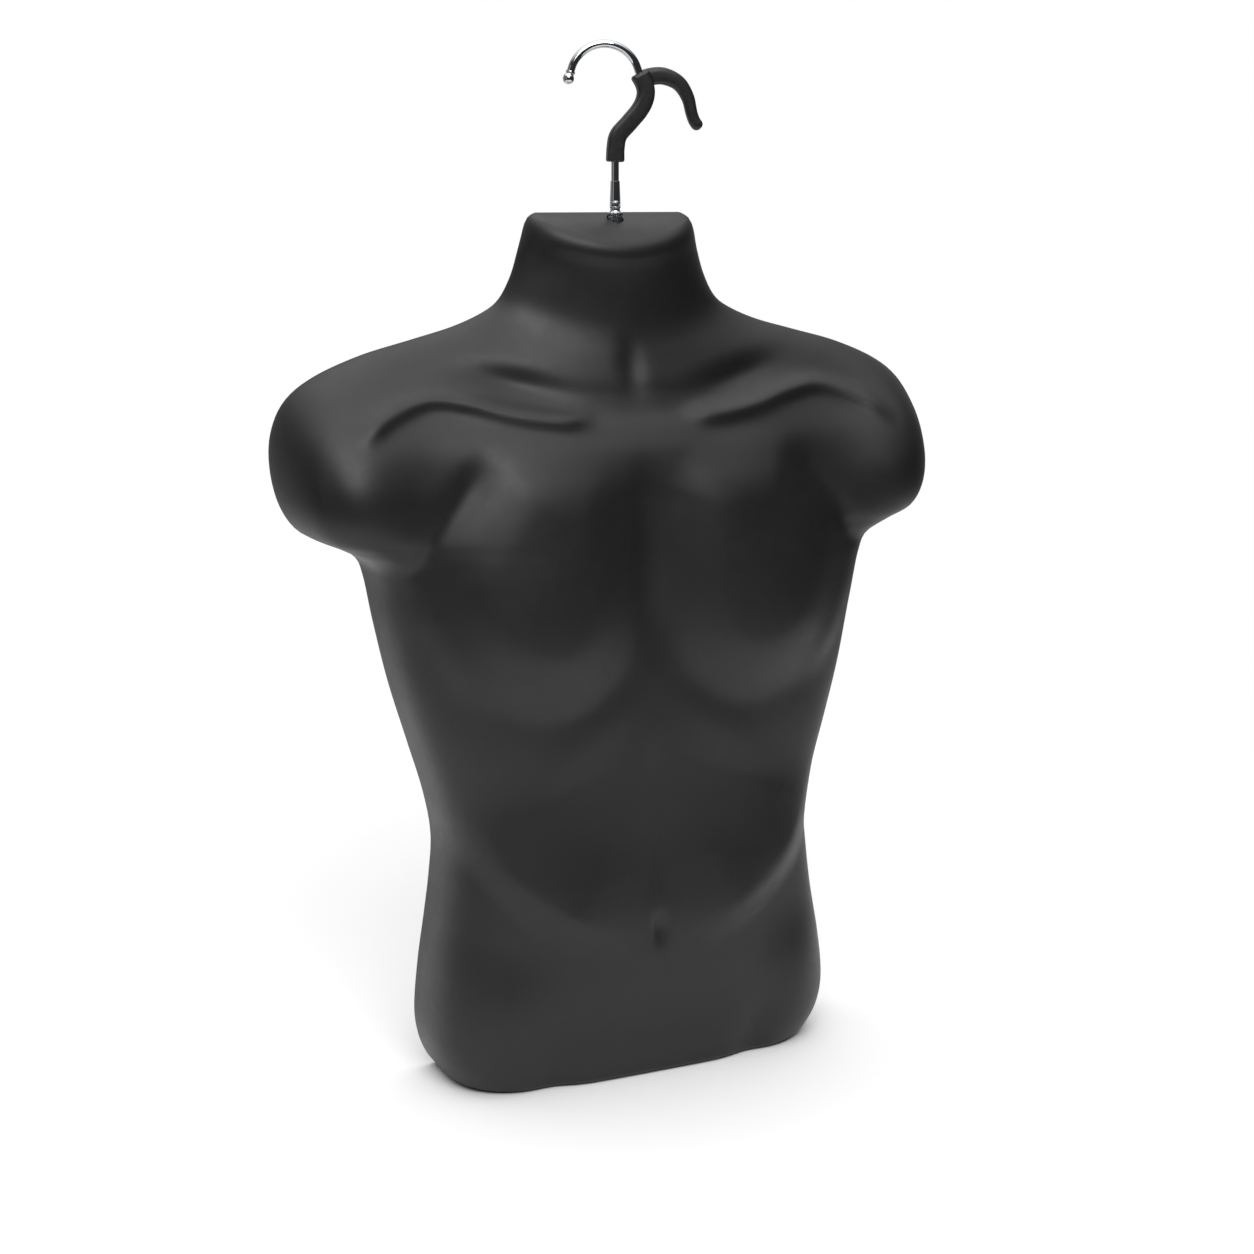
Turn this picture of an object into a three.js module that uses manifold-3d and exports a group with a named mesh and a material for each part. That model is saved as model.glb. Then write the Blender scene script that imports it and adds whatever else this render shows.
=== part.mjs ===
// Hanging torso form: a moulded half torso with an open back, hung from a swivelling
// chrome hook whose sleeve carries a small second hook arm.
// Units are millimetres, +Z is up and the form faces -Y. The origin is on the standing
// face, under the middle of the form's box.
import * as THREE from 'three';
import { ParametricGeometry } from 'three/addons/geometries/ParametricGeometry.js';
import { mergeVertices } from 'three/addons/utils/BufferGeometryUtils.js';
import Module from 'manifold-3d';

const wasm = await Module();
wasm.setup();

// ---- driving dimensions ------------------------------------------------------------

const FORM_HEIGHT = 630; // standing face to the top of the neck cap
const SHOULDER_WIDTH = 509; // across both shoulder stumps
const DEPTH_SCALE = 1; // 1 gives the sections below their own depth
const WALL = 3; // moulded wall
const HEM_RADIUS = 5; // round between the front and the standing face

const STEM_SETBACK = 13; // hook axis, forward of the open back plane
const HOOK_TURN = -12; // degrees the hook is swivelled from square at rest
const WIRE_RADIUS = 2.75;
const ARC_RADIUS = 25.5; // hook bend, to the middle of the wire
const STEM_LENGTH = 43; // seat to the foot of the S-bend
const BALL_RADIUS = 4;

const GRIP_WIDTH = 12.2;
const GRIP_THICKNESS = 10.4;
const GRIP_BEVEL = 1.4;
const ARM = { thickness: 8.4, tipWidth: 8.2, bevel: 2 };

const GAP = 0.3; // between pieces that touch
const RUNNING = 0.3; // radial clearance on the wire and on the bush
const STAND_OUT = 1.5; // thread that shows past a nut

const BUSH_RADIUS = 4.2; // threaded sleeve that passes through the cap
const BORE = WIRE_RADIUS + RUNNING;
const CLEAR_OF_BUSH = BUSH_RADIUS + RUNNING;
const FLANGE = { radius: BUSH_RADIUS + 1.65, thickness: 2, chamfer: 0.8 };
const BUSH_NECK = { height: 4.4, foot: BORE + 1.1, top: BORE + 0.7 };
const COLLAR = { radius: CLEAR_OF_BUSH + 0.65, height: 3.8 };
const NECK_WASHER = { radius: CLEAR_OF_BUSH + 1.2, thickness: 1 };
const SEAT_RADIUS = NECK_WASHER.radius + 1.2; // flat sunk into the cap
const FERRULE = { radius: BORE + 0.85, lip: 1.5, top: BORE + 0.4, height: 16 };

const POST = { radius: 3.6, length: 2.4, rib: 2.4 }; // length below the cap's wall
const PLATE = { width: 62, depth: 2 * (STEM_SETBACK - 2), thickness: 2 };
const SCREW = { shank: 1.3, head: 2.8, headHeight: 1.8, length: 7 };
const SCREW_ACROSS = PLATE.width - 18;
const SCREW_APART = PLATE.depth - 9;
const CLAMP_NUT = { acrossFlats: 2 * (CLEAR_OF_BUSH + 2), thickness: 5 };
const CLAMP_WASHER_RADIUS = CLEAR_OF_BUSH + 3.5;
const LOCK_WASHER = { radius: CLEAR_OF_BUSH + 2.7, cut: 1.2 };
const STEM_NUT = { acrossFlats: 2 * (BORE + 1.45), thickness: 4 };
const WASHER_THICKNESS = 1.5;
const THRUST = { thickness: 1, upperRadius: WIRE_RADIUS + 1.1, lowerRadius: BUSH_RADIUS + 0.6 };

// ---- the torso's sections ------------------------------------------------------------

// Each row runs from the midline out to the rim of the open back, and is written for a
// form 630 high and 509 across: the row's height on the midline, its half width and
// height at the rim, its depth on the midline, and how square its section is.
const PATTERN_HEIGHT = 630;
const PATTERN_WIDTH = 509;
const SECTIONS = [
  { mid: 0, half: 144, rim: 0, depth: 86, square: 3.8 }, // hem
  { mid: 10, half: 151, rim: 10, depth: 87, square: 4.2 },
  { mid: 26, half: 157, rim: 26, depth: 89, square: 4.6 },
  { mid: 48, half: 159.5, rim: 48, depth: 91, square: 4.6 }, // thigh
  { mid: 85, half: 156, rim: 85, depth: 94, square: 4.2 }, // hip
  { mid: 120, half: 150.5, rim: 120, depth: 94, square: 4.0 }, // navel
  { mid: 152, half: 146, rim: 152, depth: 90, square: 4.2 },
  { mid: 182, half: 144, rim: 182, depth: 86, square: 4.4 }, // waist
  { mid: 215, half: 149.5, rim: 215, depth: 84, square: 4.6 },
  { mid: 255, half: 161, rim: 255, depth: 83, square: 4.6 },
  { mid: 300, half: 174, rim: 300, depth: 81.5, square: 4.4 }, // ribs
  { mid: 345, half: 184, rim: 345, depth: 80.5, square: 4.1 },
  { mid: 378, half: 190.5, rim: 379, depth: 79.6, square: 3.8 }, // chest
  { mid: 389, half: 197, rim: 393, depth: 79.2, square: 3.5 }, // armpit
  { mid: 399, half: 216, rim: 403.5, depth: 78.8, square: 3.05 },
  { mid: 410, half: 236, rim: 413, depth: 78.2, square: 2.75 },
  { mid: 426, half: 248.5, rim: 431, depth: 77.2, square: 2.45 }, // stump
  { mid: 446, half: 254.5, rim: 456, depth: 75, square: 2.2 },
  { mid: 464, half: 253.5, rim: 481, depth: 70, square: 2.05 }, // deltoid
  { mid: 479, half: 243.5, rim: 503, depth: 62, square: 1.9 },
  { mid: 491, half: 223, rim: 519, depth: 54, square: 1.85 },
  { mid: 502, half: 189, rim: 533, depth: 49.5, square: 1.8 }, // shoulder
  { mid: 514, half: 151.5, rim: 543, depth: 46.5, square: 1.75 },
  { mid: 528, half: 120, rim: 551.5, depth: 42, square: 1.7 }, // trapezius
  { mid: 541, half: 97, rim: 561, depth: 38, square: 1.65 },
  { mid: 555, half: 85, rim: 570, depth: 35.5, square: 1.65 }, // neck
  { mid: 574, half: 76, rim: 586, depth: 35, square: 1.75 },
  { mid: 590, half: 70.5, rim: 603, depth: 37, square: 1.75 },
  { mid: 601, half: 67, rim: 615, depth: 39.5, square: 1.95 }, // lip of the cap
  { mid: 608, half: 65, rim: 622, depth: 37.5, square: 2.0 },
  { mid: 612, half: 62.5, rim: 626.5, depth: 33, square: 2.0 },
];
const CAP_BACK_HALF = 56; // half width of the cap's straight back edge

const HEIGHT_SCALE = FORM_HEIGHT / PATTERN_HEIGHT;
const WIDTH_SCALE = SHOULDER_WIDTH / PATTERN_WIDTH;

const COLUMNS = 13; // facets across each half of the front
const ROW_PITCH = 32; // longest step between two rows, at the rim
const CAP_ROWS = 4; // rows of facets over the neck cap

// ---- the anatomy: soft forms added to or taken from the sections ----------------------

const clamp01 = (value) => Math.min(1, Math.max(0, value));
const smoothStep = (from, to, value) => {
  const t = clamp01((value - from) / (to - from));
  return t * t * (3 - 2 * t);
};

/** A round swelling, or a hollow where the height is negative; turned by some degrees. */
function mound(x, z, [cx, cz], [rx, rz], height, turn = 0) {
  const angle = THREE.MathUtils.degToRad(turn);
  const across = (x - cx) * Math.cos(angle) + (z - cz) * Math.sin(angle);
  const up = (z - cz) * Math.cos(angle) - (x - cx) * Math.sin(angle);
  return height * Math.exp(-((across / rx) ** 2) - (up / rz) ** 2);
}

/** Distance from a point to a curve, which side it is on and how far along it is. */
function nearest(curve, x, z) {
  const best = { distance: Infinity, along: 0, side: 1 };
  const last = curve.length - 1;
  for (let i = 0; i < last; i++) {
    const run = curve[i + 1].clone().sub(curve[i]);
    const from = new THREE.Vector2(x, z).sub(curve[i]);
    const t = clamp01(from.dot(run) / run.lengthSq());
    const distance = from.distanceTo(run.clone().multiplyScalar(t));
    if (distance < best.distance) {
      best.distance = distance;
      best.along = (i + t) / last;
      best.side = Math.sign(run.cross(from)) || 1;
    }
  }
  return best;
}

const curveOf = (points, steps = 4) =>
  new THREE.SplineCurve(points.map(([x, z]) => new THREE.Vector2(x, z))).getPoints(
    (points.length - 1) * steps,
  );

const CLAVICLE = curveOf([
  [30, 488], [62, 489], [96, 494], [126, 502], [154, 505], [186, 494], [212, 476],
]);
const STERNUM = curveOf([[0, 476], [0, 300]]);
const RIB_ARCH = curveOf([[5, 300], [38, 276], [76, 236], [98, 204]]);
const BELLY_LINE = curveOf([[0, 270], [0, 130]]);
const OBLIQUE = curveOf([[16, 100], [68, 120], [108, 150], [136, 190], [148, 232]]);
const GROIN = curveOf([[78, -6], [86, 30], [100, 70]]);
const CHEST_SEAM = curveOf([[110, 468], [140, 434], [164, 400], [174, 380]]);
const SIDE_MUSCLE = curveOf([[176, 396], [162, 352], [140, 312], [112, 286]]);
const PECTORAL = curveOf([
  [18, 440], [34, 458], [62, 468], [92, 471], [114, 464], [140, 432], [160, 400], [164, 362],
  [150, 322], [120, 297], [86, 286], [54, 290], [28, 310], [14, 345], [12, 395], [18, 440],
]);

/** A rounded ridge along a curve, fading out over a share of its length at each end. */
function ridge(x, z, curve, height, width, fadeIn, fadeOut) {
  const { distance, along } = nearest(curve, x, z);
  const ends = smoothStep(-0.001, fadeIn, along) * smoothStep(-0.001, fadeOut, 1 - along);
  return height * Math.exp(-((distance / width) ** 2)) * ends;
}

/** A step along a curve: raised on its left, fading back over a length. */
function shelf(x, z, curve, height, soft, fade, fadeIn, fadeOut) {
  const { distance, along, side } = nearest(curve, x, z);
  const across = distance * side;
  const back = Math.exp(-((Math.max(across, 0) / fade) ** 2));
  const ends = smoothStep(-0.001, fadeIn, along) * smoothStep(-0.001, fadeOut, 1 - along);
  return height * smoothStep(-soft, soft, across) * back * ends;
}

/** The chest plate: raised inside a closed curve that runs clockwise. */
function pectoral(x, z) {
  const { distance, side } = nearest(PECTORAL, x, z);
  const into = -distance * side;
  const groove = -1.2 * Math.exp(-(((into + 6) / 16) ** 2)) * (1 - smoothStep(330, 420, z));
  return 9 * smoothStep(-9, 44, into) + mound(x, z, [88, 342], [60, 68], 11) + groove;
}

/** Everything added to the depth at a point of one half of the front. */
function anatomy(x, z) {
  return (
    pectoral(x, z) +
    ridge(x, z, CLAVICLE, 5, 6.5, 0.15, 0.14) +
    mound(x, z, [90, 513], [36, 11], -5.5, 13) + // hollow above the clavicle
    mound(x, z, [224, 440], [50, 64], 29) + // deltoid
    ridge(x, z, CHEST_SEAM, -4, 11, 0.25, 0.5) +
    ridge(x, z, SIDE_MUSCLE, 3, 13, 0.35, 0.4) +
    ridge(x, z, STERNUM, -3.5, 14, 0.35, 0.3) +
    mound(x, z, [0, 522], [9, 18], -3) + // notch of the throat
    ridge(x, z, RIB_ARCH, 1.5, 18, 0.4, 0.6) +
    ridge(x, z, BELLY_LINE, -1.4, 9, 0.3, 0.25) +
    mound(x, z, [0, 116], [5, 9.5], -4.5) + // navel
    shelf(x, z, OBLIQUE, 9, 13, 56, 0.3, 0.5) +
    mound(x, z, [104, 106], [34, 34], -5) + // hollow inside the hip
    ridge(x, z, GROIN, -4, 16, 0.01, 0.8) +
    mound(x, z, [122, 60], [22, 46], 4) // front of the hip
  );
}

// ---- the skin ------------------------------------------------------------------------

const rimCurve = new THREE.CatmullRomCurve3(
  SECTIONS.map((s) => new THREE.Vector3(s.half, s.mid, s.rim)), false, 'catmullrom', 0.5,
);
const bodyCurve = new THREE.CatmullRomCurve3(
  SECTIONS.map((s) => new THREE.Vector3(s.depth, s.square, 0)), false, 'catmullrom', 0.5,
);

/** A point of the skin on one row: x across, z up and depth forward of the back plane. */
function skinPoint(station, u) {
  const t = station / (SECTIONS.length - 1);
  const { x: half, y: mid, z: rim } = rimCurve.getPoint(t);
  const { x: depth, y: square } = bodyCurve.getPoint(t);
  const out = Math.sin((Math.abs(u) * Math.PI) / 2);
  const across = half * out;
  const z = mid + (rim - mid) * out * out;
  const fullness = Math.max(0, 1 - out ** square) ** (1 / square);
  const reach = depth * fullness + anatomy(across, z) * smoothStep(0, 0.45, fullness);
  const over = Math.max(0, HEM_RADIUS - z) / HEM_RADIUS;
  const tuck = HEM_RADIUS * (1 - Math.sqrt(1 - over * over));
  return {
    x: Math.sign(u) * (across - tuck * out) * WIDTH_SCALE,
    z: z * HEIGHT_SCALE,
    depth: Math.max(0, reach - tuck * fullness) * DEPTH_SCALE,
  };
}

/** How far the cap has fallen, from its back edge to its front, as a share of its drop. */
const capFall = (forward) => 0.3 * forward + 0.7 * forward * forward;

/** Rows of the skin in order: standing face, body and neck cap. */
function skinRows() {
  const rows = [];
  const toe = (share) => (u) => {
    const edge = skinPoint(0, u);
    return { x: edge.x, z: 0, depth: edge.depth * share };
  };
  rows.push(toe(0), toe(0.5));
  const last = SECTIONS.length - 1;
  for (let i = 0; i < last; i++) {
    const a = SECTIONS[i];
    const b = SECTIONS[i + 1];
    const steps = Math.ceil(Math.hypot(b.half - a.half, b.rim - a.rim) / ROW_PITCH);
    for (let k = 0; k < steps; k++) {
      const station = i + k / steps;
      rows.push((u) => skinPoint(station, u));
    }
  }
  const lip = (u) => skinPoint(last, u);
  rows.push(lip);
  for (let k = 1; k <= CAP_ROWS; k++) {
    const forward = 1 - k / CAP_ROWS;
    rows.push((u) => {
      const edge = lip(u);
      const backHalf = CAP_BACK_HALF * WIDTH_SCALE;
      const backX = (edge.x * backHalf) / lip(1).x;
      return {
        x: THREE.MathUtils.lerp(backX, edge.x, forward),
        z: FORM_HEIGHT - (FORM_HEIGHT - edge.z) * capFall(forward),
        depth: edge.depth * forward,
      };
    });
  }
  return rows;
}

const ROWS = skinRows();
const SKIN = ROWS.map((row) =>
  Array.from({ length: 2 * COLUMNS + 1 }, (_, j) => row(j / COLUMNS - 1)),
);
const FORM_DEPTH = Math.max(...SKIN.flat().map((p) => p.depth));
const BACK_Y = FORM_DEPTH / 2;
const outerPoint = (i, j) => {
  const p = SKIN[i][j];
  return new THREE.Vector3(p.x, BACK_Y - p.depth, p.z);
};

/** A point of the inner face: the skin moved in by the wall, open past the back plane. */
function innerPoint(i, j) {
  const lastRow = SKIN.length - 1;
  const lastColumn = 2 * COLUMNS;
  const here = outerPoint(i, j);
  const along = outerPoint(i, Math.min(j + 1, lastColumn)).sub(outerPoint(i, Math.max(j - 1, 0)));
  const up = outerPoint(Math.min(i + 1, lastRow), j).sub(outerPoint(Math.max(i - 1, 0), j));
  const inward = up.cross(along).normalize();
  const onRim = i === 0 || i === lastRow || j === 0 || j === lastColumn;
  if (onRim) inward.y = 0;
  here.addScaledVector(inward.normalize(), WALL);
  if (onRim) here.y = BACK_Y + 1;
  else here.y = Math.min(here.y, BACK_Y - 0.05);
  return here;
}

// ---- solids ----------------------------------------------------------------------------

/** Turns a closed geometry into a manifold solid, without its empty triangles. */
function solidOf(geometry) {
  const bare = geometry.clone();
  bare.deleteAttribute('normal');
  bare.deleteAttribute('uv');
  const merged = mergeVertices(bare, 1e-3);
  const corners = merged.index.array;
  const triangles = [];
  for (let i = 0; i < corners.length; i += 3) {
    const [a, b, c] = [corners[i], corners[i + 1], corners[i + 2]];
    if (a !== b && b !== c && c !== a) triangles.push(a, b, c);
  }
  return new wasm.Manifold(
    new wasm.Mesh({
      numProp: 3,
      vertProperties: Float32Array.from(merged.attributes.position.array),
      triVerts: Uint32Array.from(triangles),
    }),
  );
}

/** Turns a manifold solid back into a geometry. */
function geometryOf(solid) {
  const mesh = solid.getMesh();
  const geometry = new THREE.BufferGeometry();
  geometry.setAttribute('position', new THREE.BufferAttribute(mesh.vertProperties, 3));
  geometry.setIndex(new THREE.BufferAttribute(mesh.triVerts, 1));
  geometry.computeVertexNormals();
  return geometry;
}

/** A closed pillow: a sheet of points and its flat back, joined at the rim. */
function pillow(pointAt, backY) {
  const stacks = SKIN.length - 1;
  const slices = 4 * COLUMNS;
  return new ParametricGeometry(
    (u, v, target) => {
      const column = Math.round(u * slices);
      const row = Math.round(v * stacks);
      const j = column <= 2 * COLUMNS ? column : slices - column;
      target.copy(pointAt(row, j));
      if (column > 2 * COLUMNS) target.y = backY;
    },
    slices,
    stacks,
  );
}

/** A straight round bar between two heights, on a vertical axis. */
function bar(radius, bottom, top, x = 0, y = 0, sides = 24) {
  const geometry = new THREE.CylinderGeometry(radius, radius, top - bottom, sides);
  geometry.rotateX(Math.PI / 2);
  return geometry.translate(x, y, (bottom + top) / 2);
}

/** A box from its lowest and highest corners. */
function block([x0, y0, z0], [x1, y1, z1]) {
  const geometry = new THREE.BoxGeometry(x1 - x0, y1 - y0, z1 - z0);
  return geometry.translate((x0 + x1) / 2, (y0 + y1) / 2, (z0 + z1) / 2);
}

/** A turned ring from closed [radius, height] points, on the Z axis. */
function turned(profile, sides = 24) {
  const points = [...profile, profile[0]].map(([r, z]) => new THREE.Vector2(r, z));
  return new THREE.LatheGeometry(points, sides).rotateX(Math.PI / 2);
}

/** A flat ring between two radii and two heights. */
const washer = (inner, outer, bottom, top, sides) =>
  turned([[inner, bottom], [outer, bottom], [outer, top], [inner, top]], sides);

/** A hexagon nut with a round hole. */
function nut(acrossFlats, hole, bottom, top) {
  const hexagon = new THREE.Shape();
  const corner = acrossFlats / Math.sqrt(3);
  for (let i = 0; i < 6; i++) {
    const angle = (i * Math.PI) / 3;
    hexagon[i ? 'lineTo' : 'moveTo'](corner * Math.cos(angle), corner * Math.sin(angle));
  }
  hexagon.holes.push(new THREE.Path().absarc(0, 0, hole, 0, 2 * Math.PI, true));
  const options = { depth: top - bottom, bevelEnabled: false, curveSegments: 12 };
  return new THREE.ExtrudeGeometry(hexagon, options).translate(0, 0, bottom);
}

/** A round bar of even section along a curve. */
function tube(curve, radius, steps, sides) {
  const section = new THREE.Shape().absarc(0, 0, radius, 0, 2 * Math.PI);
  const options = { steps, curveSegments: sides / 2, extrudePath: curve };
  return new THREE.ExtrudeGeometry(section, options);
}

/** A flat ribbon of changing width about a curve in the XZ plane, bevelled all round. */
function ribbon(curve, steps, widthAt, thickness, frontY, bevel) {
  const left = [];
  const right = [];
  for (let i = 0; i <= steps; i++) {
    const t = i / steps;
    const p = curve.getPoint(t);
    const run = curve.getTangent(t);
    const half = widthAt(t) / 2 - bevel;
    left.push(new THREE.Vector2(p.x - run.z * half, p.z + run.x * half));
    right.push(new THREE.Vector2(p.x + run.z * half, p.z - run.x * half));
  }
  const outline = new THREE.Shape([...right, ...left.reverse()]);
  const depth = thickness - 2 * bevel;
  const options = { depth, bevelThickness: bevel, bevelSize: bevel, bevelSegments: 1 };
  const geometry = new THREE.ExtrudeGeometry(outline, options);
  return geometry.rotateX(Math.PI / 2).translate(0, frontY + bevel + depth, 0);
}

// ---- heights of the swivel, from the seat down and up ------------------------------------

const STEM_Y = BACK_Y - STEM_SETBACK;

/** Height of the cap's skin on the midline at a depth from the back plane. */
function capHeight(depth) {
  const lip = skinPoint(SECTIONS.length - 1, 0);
  return FORM_HEIGHT - (FORM_HEIGHT - lip.z) * capFall(depth / lip.depth);
}

const SEAT_Z = capHeight(STEM_SETBACK + SEAT_RADIUS);
const WASHER_TOP = SEAT_Z + GAP + NECK_WASHER.thickness;
const COLLAR_TOP = WASHER_TOP + GAP + COLLAR.height;
const FLANGE_BOTTOM = COLLAR_TOP + GAP;
const FLANGE_TOP = FLANGE_BOTTOM + FLANGE.thickness;
const BUSH_TOP = FLANGE_TOP + BUSH_NECK.height;
const THRUST_TOP = BUSH_TOP + GAP + THRUST.thickness;
const PLATE_TOP = capHeight(STEM_SETBACK + PLATE.depth / 2) - WALL - POST.length;
const PLATE_BOTTOM = PLATE_TOP - PLATE.thickness;
const POST_BOTTOM = PLATE_TOP + GAP;
const CLAMP_WASHER_BOTTOM = PLATE_BOTTOM - GAP - WASHER_THICKNESS;
const LOCK_WASHER_BOTTOM = CLAMP_WASHER_BOTTOM - GAP - WASHER_THICKNESS;
const CLAMP_NUT_BOTTOM = LOCK_WASHER_BOTTOM - GAP - CLAMP_NUT.thickness;
const BUSH_BOTTOM = CLAMP_NUT_BOTTOM - STAND_OUT;
const LOWER_THRUST_BOTTOM = BUSH_BOTTOM - GAP - THRUST.thickness;
const STEM_NUT_BOTTOM = LOWER_THRUST_BOTTOM - GAP - STEM_NUT.thickness;
const STEM_BOTTOM = STEM_NUT_BOTTOM - STAND_OUT;

const SCREW_PLACES = {
  front_left: [-SCREW_ACROSS / 2, STEM_Y - SCREW_APART / 2],
  front_right: [SCREW_ACROSS / 2, STEM_Y - SCREW_APART / 2],
  back_left: [-SCREW_ACROSS / 2, STEM_Y + SCREW_APART / 2],
  back_right: [SCREW_ACROSS / 2, STEM_Y + SCREW_APART / 2],
};

// ---- pieces of the form --------------------------------------------------------------------

/** Posts and ribs that hang under the cap and take the plate, its screws and the bush. */
function capPosts() {
  const top = FORM_HEIGHT;
  let posts = solidOf(bar(2 * BUSH_RADIUS, POST_BOTTOM, top, 0, STEM_Y));
  for (const [x, y] of Object.values(SCREW_PLACES)) {
    posts = posts.add(solidOf(bar(POST.radius, POST_BOTTOM, top, x, y, 20)));
  }
  const half = SCREW_ACROSS / 2;
  for (const side of [-1, 1]) {
    const y = STEM_Y + (side * SCREW_APART) / 2;
    const low = [-half, y - POST.rib / 2, POST_BOTTOM + 1];
    posts = posts.add(solidOf(block(low, [half, y + POST.rib / 2, top])));
  }
  return posts;
}

function torsoShell() {
  const outer = solidOf(pillow(outerPoint, BACK_Y));
  const inner = solidOf(pillow(innerPoint, BACK_Y + 1));
  let shell = outer.subtract(inner).add(capPosts().intersect(outer));
  shell = shell.subtract(solidOf(bar(SEAT_RADIUS, SEAT_Z, FORM_HEIGHT + 5, 0, STEM_Y)));
  shell = shell.subtract(
    solidOf(bar(CLEAR_OF_BUSH, POST_BOTTOM - 5, FORM_HEIGHT + 5, 0, STEM_Y)),
  );
  const hole = SCREW.shank + GAP;
  for (const [x, y] of Object.values(SCREW_PLACES)) {
    shell = shell.subtract(
      solidOf(bar(hole, POST_BOTTOM - 1, PLATE_BOTTOM + SCREW.length + 1, x, y, 16)),
    );
  }
  return geometryOf(shell);
}

function neckPlate() {
  const y0 = STEM_Y - PLATE.depth / 2;
  const low = [-PLATE.width / 2, y0, PLATE_BOTTOM];
  let plate = solidOf(block(low, [PLATE.width / 2, y0 + PLATE.depth, PLATE_TOP]));
  const below = PLATE_BOTTOM - 1;
  const above = PLATE_TOP + 1;
  plate = plate.subtract(solidOf(bar(CLEAR_OF_BUSH, below, above, 0, STEM_Y)));
  for (const [x, y] of Object.values(SCREW_PLACES)) {
    plate = plate.subtract(solidOf(bar(SCREW.shank + GAP, below, above, x, y, 16)));
  }
  return geometryOf(plate);
}

function plateScrew() {
  const headTop = PLATE_BOTTOM - GAP;
  const headBottom = headTop - SCREW.headHeight;
  const tip = PLATE_BOTTOM + SCREW.length;
  const points = [
    [0, headBottom], [SCREW.head * 0.7, headBottom], [SCREW.head, headTop - 0.8],
    [SCREW.head, headTop], [SCREW.shank, headTop], [SCREW.shank, tip - 1], [0, tip],
  ];
  const profile = points.map(([r, z]) => new THREE.Vector2(r, z));
  return new THREE.LatheGeometry(profile, 16).rotateX(Math.PI / 2);
}

const swivelBush = () =>
  turned([
    [BORE, BUSH_BOTTOM], [BUSH_RADIUS, BUSH_BOTTOM], [BUSH_RADIUS, FLANGE_BOTTOM],
    [FLANGE.radius, FLANGE_BOTTOM], [FLANGE.radius, FLANGE_TOP - FLANGE.chamfer],
    [BUSH_NECK.foot, FLANGE_TOP], [BUSH_NECK.top, BUSH_TOP], [BORE, BUSH_TOP],
  ]);

/** A sprung washer: a ring with a cut, so it is one bent strip. */
function lockWasher() {
  const top = LOCK_WASHER_BOTTOM + WASHER_THICKNESS;
  const { radius, cut } = LOCK_WASHER;
  const ring = solidOf(washer(CLEAR_OF_BUSH, radius, LOCK_WASHER_BOTTOM, top));
  const slot = block([1, -cut / 2, LOCK_WASHER_BOTTOM - 1], [radius + 1, cut / 2, top + 1]);
  return geometryOf(ring.subtract(solidOf(slot)));
}

// ---- pieces of the hook ----------------------------------------------------------------------

// The hook lies in its own XZ plane, x from the stem and z from the seat.
const S_FOOT = SEAT_Z + STEM_LENGTH;
const ARC_CENTRE = [-7.3, S_FOOT + 55.5];
const S_BEND = [[0, 0], [0.4, 10], [2.4, 18.5], [10, 27], [17.4, 35.5], [21.4, 43], [22, 51]];
const inPlane = (x, z) => new THREE.Vector3(x, 0, z);

function arcPoint(degrees) {
  const angle = THREE.MathUtils.degToRad(degrees);
  const [x, z] = ARC_CENTRE;
  return inPlane(x + ARC_RADIUS * Math.cos(angle), z + ARC_RADIUS * Math.sin(angle));
}

const arcPoints = (from, to, count) =>
  Array.from({ length: count }, (_, i) =>
    arcPoint(THREE.MathUtils.lerp(from, to, i / (count - 1))),
  );

const ARC_END = 170;
const WIRE_STEPS = 48;
const WIRE_SIDES = 10;
const bendPoints = S_BEND.map(([x, z]) => inPlane(x, S_FOOT + z));
const stemPoints = [inPlane(0, STEM_BOTTOM), inPlane(0, (STEM_BOTTOM + S_FOOT) / 2)];
const wireCurve = new THREE.CatmullRomCurve3([
  ...stemPoints, ...bendPoints, ...arcPoints(14, ARC_END, 9),
]);
const gripCurve = new THREE.CatmullRomCurve3([...bendPoints, arcPoint(13)]);
const armCurve = new THREE.CatmullRomCurve3([
  inPlane(17, S_FOOT + 56), inPlane(26, S_FOOT + 59), inPlane(36, S_FOOT + 59.3),
  inPlane(46.5, S_FOOT + 54.5), inPlane(53, S_FOOT + 45), inPlane(56, S_FOOT + 34),
  inPlane(58.5, S_FOOT + 28), inPlane(62.5, S_FOOT + 23.5),
]);
const armWidth = (t) => THREE.MathUtils.lerp(GRIP_WIDTH, ARM.tipWidth, smoothStep(0.15, 1, t));

/** The tip ball, cut flat where it meets the wire's end. */
function tipBall() {
  const end = wireCurve.getPoint(1);
  const run = wireCurve.getTangent(1);
  const middle = end.clone().addScaledVector(run, BALL_RADIUS * 0.75);
  const ball = solidOf(
    new THREE.SphereGeometry(BALL_RADIUS, 16, 10).translate(middle.x, middle.y, middle.z),
  );
  const behind = end.clone().addScaledVector(run, -3 * BALL_RADIUS);
  const face = end.clone().addScaledVector(run, GAP);
  const cutter = new THREE.LineCurve3(behind, face);
  return geometryOf(ball.subtract(solidOf(tube(cutter, WIRE_RADIUS + GAP, 1, 12))));
}

const stemFerrule = () => {
  const bottom = THRUST_TOP + GAP;
  return turned([
    [BORE, bottom], [FERRULE.radius, bottom], [FERRULE.radius, bottom + FERRULE.lip],
    [FERRULE.top, bottom + FERRULE.height], [BORE, bottom + FERRULE.height],
  ]);
};

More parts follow.
